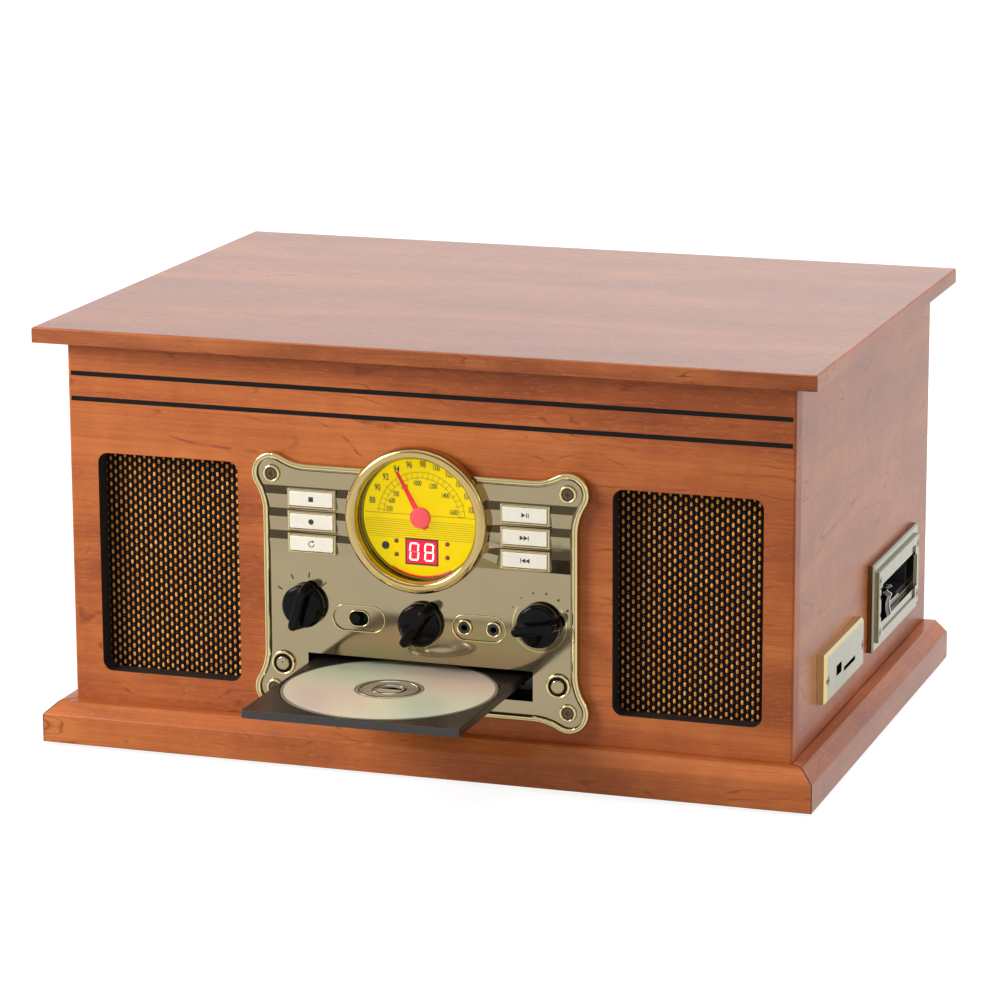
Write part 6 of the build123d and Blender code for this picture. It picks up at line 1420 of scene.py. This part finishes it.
@dataclass
class Keys:
    """Six ivory push keys with printed signs in gold frames, and two round keys."""

    width: float = 26.0
    height: float = 8.5
    plate_out: float = 4.0
    rise: float = 3.0
    frame_width: float = 0.7
    signs: tuple[str, ...] = ("stop", "record", "repeat", "play", "next", "previous")
    round_r: float = 5.2

    def build(self) -> None:
        """Builds the keys on their CAD places."""
        for sign in self.signs:
            self.build_key(sign)
        self.frame_keys()
        for name in ("power", "eject"):
            self.build_round_key(name)

    def build_key(self, sign: str) -> None:
        """Ivory cap with a softly crowned face, and its sign."""
        node = sign + "_button"
        centre = middle(node)
        face = Vector((centre.x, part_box(node)[0].y, centre.z))
        cap = block(self.width, self.height, 6.0)
        with editing(cap):
            pick(cap, "faces", lambda element: element.normal.z > 0.9)
            bpy.ops.mesh.inset(thickness=0.7 * MM, depth=0.12 * MM)
        round_edges(cap, 0.45, 4, 20.0)
        settle(cap, node + "_cap", IVORY, node, seat(Way.FRONT, face + Vector((0, 6.12 * MM, 0))), [node],
               50.0)
        marks = join(getattr(self, "draw_" + sign)())
        settle(marks, node + "_sign", KEY_PRINT, node, seat(Way.FRONT, face))

    def triangle(self, x: float, size: float, way: int) -> bpy.types.Object:
        """Printed triangle that points to the right (1) or the left (-1)."""
        mark = add_primitive("cylinder", vertices=3, radius=size * 0.62 * MM, depth=0.06 * MM)
        with editing(mark):
            bpy.ops.transform.rotate(value=math.radians(90 if way > 0 else -90), orient_axis="Z",
                                     center_override=(0, 0, 0))
            tip = max(vert.co.x * way for vert in bmesh.from_edit_mesh(mark.data).verts)
            turned_away = abs(tip - size * 0.62 * MM) > 1e-5
            if turned_away:
                bpy.ops.transform.rotate(value=math.radians(180), orient_axis="Z", center_override=(0, 0, 0))
            bpy.ops.transform.translate(value=(x * MM, 0, 0))
        return mark

    def bar(self, x: float, width: float = 0.6, height: float = 2.6) -> bpy.types.Object:
        """Printed upright bar."""
        mark = strip(width, height)
        mark.data.transform(Matrix.Translation((x * MM, 0, -0.03 * MM)))
        return mark

    def draw_stop(self) -> list[bpy.types.Object]:
        """Square."""
        return [self.bar(0.0, 2.8, 2.8)]

    def draw_record(self) -> list[bpy.types.Object]:
        """Round dot."""
        return [add_primitive("cylinder", vertices=40, radius=1.6 * MM, depth=0.06 * MM)]

    def draw_repeat(self) -> list[bpy.types.Object]:
        """Loop with an arrow head."""
        loop = turned([(1.35, -0.03), (1.35, 0.03), (1.85, 0.03), (1.85, -0.03), (1.35, -0.03)], 48)
        with editing(loop):
            pick(loop, "faces", lambda face: face.calc_center_median().x > 0.4 * MM
                 and 0 < face.calc_center_median().y < 1.2 * MM)
            bpy.ops.mesh.delete(type="FACE")
        head = self.triangle(0.0, 1.5, 1)
        head.data.transform(Matrix.Translation((0.9 * MM, 1.55 * MM, 0)))
        return [loop, head]

    def draw_play(self) -> list[bpy.types.Object]:
        """Triangle and two bars."""
        return [self.triangle(-1.0, 2.6, 1), self.bar(1.2, 0.5), self.bar(2.2, 0.5)]

    def draw_next(self) -> list[bpy.types.Object]:
        """Two triangles against a bar, to the right."""
        return [self.triangle(-2.0, 2.6, 1), self.triangle(0.3, 2.6, 1), self.bar(2.2, 0.5)]

    def draw_previous(self) -> list[bpy.types.Object]:
        """Two triangles against a bar, to the left."""
        return [self.triangle(2.0, 2.6, -1), self.triangle(-0.3, 2.6, -1), self.bar(-2.2, 0.5)]

    def frame_keys(self) -> None:
        """Gold frame round each oblong key."""
        outer = (self.width + 0.5 + 2 * self.frame_width, self.height + 0.5 + 2 * self.frame_width)
        line = block(*outer, 0.4)
        with editing(line):
            pick(line, "faces", lambda face: abs(face.normal.z) < 0.5 or face.normal.z < 0)
            bpy.ops.mesh.delete(type="FACE")
            bpy.ops.mesh.select_all(action="SELECT")
            bpy.ops.mesh.inset(thickness=self.frame_width * MM)
            bpy.ops.mesh.delete(type="FACE")
        apply_modifier(line, "SOLIDIFY", thickness=1.0 * MM, offset=1.0)
        round_edges(line, 0.3, 3)
        places = []
        for sign in self.signs:
            centre = middle(sign + "_button")
            places.append(seat(Way.FRONT, Vector((centre.x, on_front(0, 0, self.plate_out + 1.3).y, centre.z))))
        settle(copy_to(line, places), "key_frames", GOLD, "cabinet", smooth=50.0)

    def build_round_key(self, name: str) -> None:
        """Champagne cap in a gold ring."""
        node = name + "_button"
        centre = middle(node)
        face = Vector((centre.x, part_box(node)[0].y, centre.z))
        r = self.round_r
        cap_r = r - 1.2
        cap = turned([(cap_r, -3.0), (cap_r, -0.9)] + arc((cap_r - 0.9, -0.9), 0.9, 0, 80, 6)
                     + [(cap_r - 1.8, 0.0), (0.0, -0.25)], 72)
        settle(cap, node + "_cap", CHAMPAGNE, node, seat(Way.FRONT, face), [node], 50.0)
        sleeve = turned([(r, -6.0), (r, -1.6), (r - 0.25, -1.3), (cap_r, -1.3)], 72)
        settle(sleeve, node + "_sleeve", GLOSS_BLACK, node, seat(Way.FRONT, face))
        ring = turned([(r + 0.35, -2.0), (r + 0.35, 1.2)] + arc((r + 1.1, 1.4), 0.75, 180, 0, 8)
                      + [(r + 2.0, 0.0)], 72)
        settle(ring, name + "_ring", GOLD, "cabinet",
               seat(Way.FRONT, Vector((face.x, on_front(0, 0, self.plate_out).y, face.z))), smooth=60.0)
        if name == "power":
            loop = turned([(1.7, 0.0), (1.7, 0.12), (2.15, 0.12), (2.15, 0.0), (1.7, 0.0)], 48)
            with editing(loop):
                pick(loop, "faces", lambda element: element.calc_center_median().y > 0
                     and abs(element.calc_center_median().x) < 0.75 * MM)
                bpy.ops.mesh.delete(type="FACE")
            stem = strip(0.45, 2.0, 0.12)
            stem.data.transform(Matrix.Translation((0, 1.3 * MM, 0)))
            settle(join([loop, stem]), "power_sign", KEY_PRINT, node,
                   seat(Way.FRONT, face + Vector((0, 0.2 * MM, 0))))


@dataclass
class Knobs:
    """Three gloss black pointer knobs."""

    skirt_r: float = 12.4
    skirt_h: float = 6.0
    gap: float = 0.6
    plate_out: float = 4.0
    grip: tuple[float, float, float] = (28.4, 8.4, 14.5)
    turns: dict[str, float] = field(default_factory=lambda: {"function": 16.0, "tuning": 34.0, "volume": 80.0})
    places: dict[str, Point] = field(default_factory=lambda: {
        "function": (-69.0, 91.5), "tuning": (0.0, 86.0), "volume": (69.5, 91.0)})

    def build(self) -> None:
        """Builds each knob as a skirt with a grip across it."""
        for name, (x, z) in self.places.items():
            place = seat(Way.FRONT, on_front(x, z, self.plate_out + self.gap), -self.turns[name])
            r, h = self.skirt_r, self.skirt_h
            skirt = turned([(r - 0.4, 0.0), (r, 0.5), (r, h * 0.55)] + arc((r - 2.6, h * 0.55), 2.6, 8, 84, 7)
                           + [(r - 5.0, h + 0.35), (0.0, h + 0.9)], 112)
            settle(skirt, name + "_skirt", GLOSS_BLACK, name + "_knob", place, [name + "_knob"], 50.0)
            length, width, height = self.grip
            bar = block(width, length, height - 1.0)
            with editing(bar):
                pick(bar, "edges", lambda edge: abs(edge.verts[0].co.z - edge.verts[1].co.z) > 1e-4)
                bpy.ops.mesh.bevel(offset=(width / 2 - 0.6) * MM, segments=5)
                pick(bar, "faces", lambda face: face.normal.z > 0.9)
                bpy.ops.transform.resize(value=(0.62, 0.86, 1), center_override=(0, 0, 0))
            round_edges(bar, 1.1, 4, 40.0)
            settle(bar, name + "_grip", GLOSS_BLACK, name + "_knob", place @ Matrix.Translation((0, 0, 0.8 * MM)),
                   smooth=60.0)


@dataclass
class SmallControls:
    """Band switch and the two jack sockets."""

    plate_out: float = 4.0
    jack_x: Point = (25.5, 42.6)
    level: float = 86.0

    def build(self) -> None:
        """Builds the slider's gold edge, the slider and the jack rings."""
        settle(refined("band_switch", 0.15), "band_slider", GLOSS_BLACK, "band_switch", instead_of=["band_switch"])
        edge = stadium(11.3 + 1.4, 8.0 + 1.4)
        with editing(edge):
            bpy.ops.mesh.inset(thickness=0.7 * MM)
            bpy.ops.mesh.delete(type="FACE")
        apply_modifier(edge, "SOLIDIFY", thickness=0.9 * MM, offset=1.0)
        round_edges(edge, 0.3, 3)
        settle(edge, "band_slot_edge", GOLD, "cabinet", seat(Way.FRONT, on_front(-37.0, self.level, self.plate_out - 0.7)),
               smooth=60.0)
        ring = turned([(3.35, -1.5), (3.35, 0.3)] + arc((3.9, 0.4), 0.55, 180, 0, 8) + [(4.45, -0.4)], 48)
        settle(copy_to(ring, [seat(Way.FRONT, on_front(x, self.level, self.plate_out)) for x in self.jack_x]),
               "jack_rings", GOLD, "cabinet", smooth=60.0)
        dress("jack_sockets", MATT_BLACK)


# ----------------------------------------------------------------- CD drive
@dataclass
class DiscDrive:
    """Tray, disc and the mechanism behind the slot."""

    disc_r: float = 60.0
    hole_r: float = 7.5
    mirror: Point = (19.5, 58.3)

    def build(self) -> None:
        """Builds the tray and its disc."""
        settle(refined("cd_tray", 0.2), "tray_moulded", TRAY_BLACK, "tray", instead_of=["cd_tray"])
        dress("cd_mechanism", SATIN_BLACK)
        low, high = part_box("cd_disc")
        axis = (low + high) / 2
        metal = DiscMetal("disc_mirror", (axis.x, axis.y, axis.z))
        inner, outer = self.mirror
        base = turned([(self.hole_r, 0.0), (self.hole_r, 1.2), (15.5, 1.2), (16.0, 0.95), (16.6, 1.35), (17.4, 1.35),
                       (18.0, 0.95), (18.6, 1.2), (self.disc_r - 0.2, 1.2), (self.disc_r, 1.0), (self.disc_r, 0.2),
                       (self.disc_r - 0.2, 0.0), (self.hole_r, 0.0)], 144)
        # The clear hub gets a milky cream layer: painted reflection of the champagne plate.
        clear = ClearLens("polycarbonate", 1.585, 0.3, "#d6ceb6")
        at = Vector((axis.x, axis.y, low.z))
        settle(base, "disc_body", clear, "disc", seat(Way.UP, at), ["cd_disc"], 40.0)
        layer = turned([(inner, 1.18), (inner, 1.23), (outer, 1.23), (outer, 1.18)], 144)
        settle(layer, "disc_mirror_layer", metal, "disc", seat(Way.UP, at))
        for name, radii in (("disc_outer_ring", (15.7, 17.6)), ("disc_inner_ring", (7.7, 9.9))):
            ring = turned([(radii[0], 1.15), (radii[0] + 0.3, 1.45), (radii[1] - 0.3, 1.45), (radii[1], 1.15)], 96)
            settle(ring, name, CHROME, "disc", seat(Way.UP, at), smooth=50.0)


# --------------------------------------------------------------- right side
@dataclass
class SidePanels:
    """Card and memory-stick plate, and the cassette bay.

    The lever's outline is given as x and z, the guide's as y and z, in mm.
    """

    flange: float = 3.4
    lever_y: Point = (76.2, 84.2)
    lever_profile: tuple[Point, ...] = (
        (200.0, 60.6), (219.6, 60.6), (221.2, 62.0), (220.1, 66.5), (220.2, 70.5), (221.4, 74.2), (218.8, 75.6),
        (218.3, 76.8), (220.4, 77.8), (221.3, 78.6), (220.4, 79.3), (200.0, 79.3))
    trim_out: float = 0.7
    trim_width: float = 0.9
    guide_profile: tuple[Point, ...] = (
        (98.0, 58.9), (158.4, 58.9), (158.4, 60.4), (134.0, 60.4), (132.0, 62.6), (98.0, 62.6))
    guide_x: float = 213.4
    guide_width: float = 1.6

    def build(self) -> None:
        """Dresses both panels and what sits in them."""
        plate = settle(refined("usb_plate", 0.25), "card_plate", SIDE_PLATING, "cabinet", instead_of=["usb_plate"])
        face_finish(plate, GOLD, lambda face: abs(face.normal.x) < 0.9)
        surround = settle(refined("cassette_frame", 0.25), "cassette_surround", SIDE_PLATING, "cabinet",
                          instead_of=["cassette_frame"])
        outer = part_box("cassette_frame")[0].x + self.flange * MM
        # the flange's edges are darkened: painted shadow
        face_finish(surround, PAINTED_FLANGE_SHADOW, lambda face: abs(face.normal.x) < 0.5 and face.center.x < outer)
        dress("card_sockets", STEEL)
        dress("cassette_mechanism", MATT_BLACK)
        self.build_lever()
        self.build_guide()

    def build_lever(self) -> None:
        """Hooked eject lever with a chromed edge along its far side."""
        near, far = self.lever_y
        body = cut_out(self.lever_profile, far - near)
        round_edges(body, 0.3)
        settle(body, "cassette_lever_hook", GLOSS_BLACK, "cassette_lever", seat(Way.FRONT, Vector((0, far * MM, 0))),
               ["cassette_lever"], 40.0)
        trim = cut_out([(x + (self.trim_out if x > 215 else 12.0), min(z, 79.35)) for x, z in self.lever_profile],
                       self.trim_width)
        round_edges(trim, 0.12)
        settle(trim, "cassette_lever_trim", CHROME, "cassette_lever",
               seat(Way.FRONT, Vector((0, (far + self.trim_width) * MM, 0))), smooth=40.0)

    def build_guide(self) -> None:
        """Steel sill that guides the tape into its bay."""
        guide = cut_out(self.guide_profile, self.guide_width)
        round_edges(guide, 0.2)
        settle(guide, "tape_guide", STEEL, "cabinet", seat(Way.RIGHT, Vector((self.guide_x * MM, 0, 0))))


# -------------------------------------------------------------- record deck
@dataclass
class RecordDeck:
    """Deck plate, platter, mat, belt drive, tonearm and switches."""

    def build(self) -> None:
        """Dresses the deck that the lid covers."""
        axis = middle("slip_mat")
        spot = (axis.x, axis.y)
        settle(refined("deck_plate", 0.3), "deck_plate_moulded", SATIN_BLACK, "cabinet", instead_of=["deck_plate"])
        settle(refined("platter", 0.2), "platter_turned",
               TurnedSurface("turned_aluminium", spot, "#b9b9bb", 1.0, 0.28, 0.8, 0.01), "platter",
               instead_of=["platter"])
        settle(refined("slip_mat", 0.3), "slip_mat_ribbed",
               TurnedSurface("ribbed_rubber", spot, "#1b1a1a", 0.0, 0.55, 2.5, 0.4), "platter",
               instead_of=["slip_mat"])
        dress("motor_pulley", BRASS)
        dress("platter_motor", STEEL)
        dress("drive_belt", BELT_RUBBER)
        settle(refined("tonearm_turret", 0.3), "turret_moulded", SATIN_BLACK, "turret", instead_of=["tonearm_turret"])
        settle(refined("tonearm", 0.2), "tonearm_chromed", CHROME, "arm", instead_of=["tonearm"])
        dress("speed_switch", GLOSS_BLACK)
        dress("auto_stop_switch", GLOSS_BLACK)
        dress("lid_hinge_leaves", BRASS)
        dress("body_hinge_leaves", BRASS)
        dress("hinge_pins", BRASS)
        dress("lid_stay", STEEL)
        dress("stay_track", STEEL)
        dress("stay_bracket", STEEL)


@dataclass
class BackAndInside:
    """Rear terminals and the parts that only an open cabinet shows."""

    def build(self) -> None:
        """Dresses the back."""
        dress("rear_terminals", SATIN_BLACK)
        dress("mains_transformer", IRON)
        dress("main_board", BOARD_GREEN)


def main() -> None:
    """Builds the studio and each sub-assembly, and logs what it builds."""
    logging.basicConfig(level=logging.INFO, format="%(message)s")
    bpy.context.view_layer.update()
    for assembly in (Studio(), Cabinet(), SpeakerGrilles(), Fascia(), Dial(), Keys(), Knobs(), SmallControls(),
                     DiscDrive(), SidePanels(), RecordDeck(), BackAndInside()):
        assembly.build()
        log.info("%s built", type(assembly).__name__)


if __name__ == "__main__":
    main()
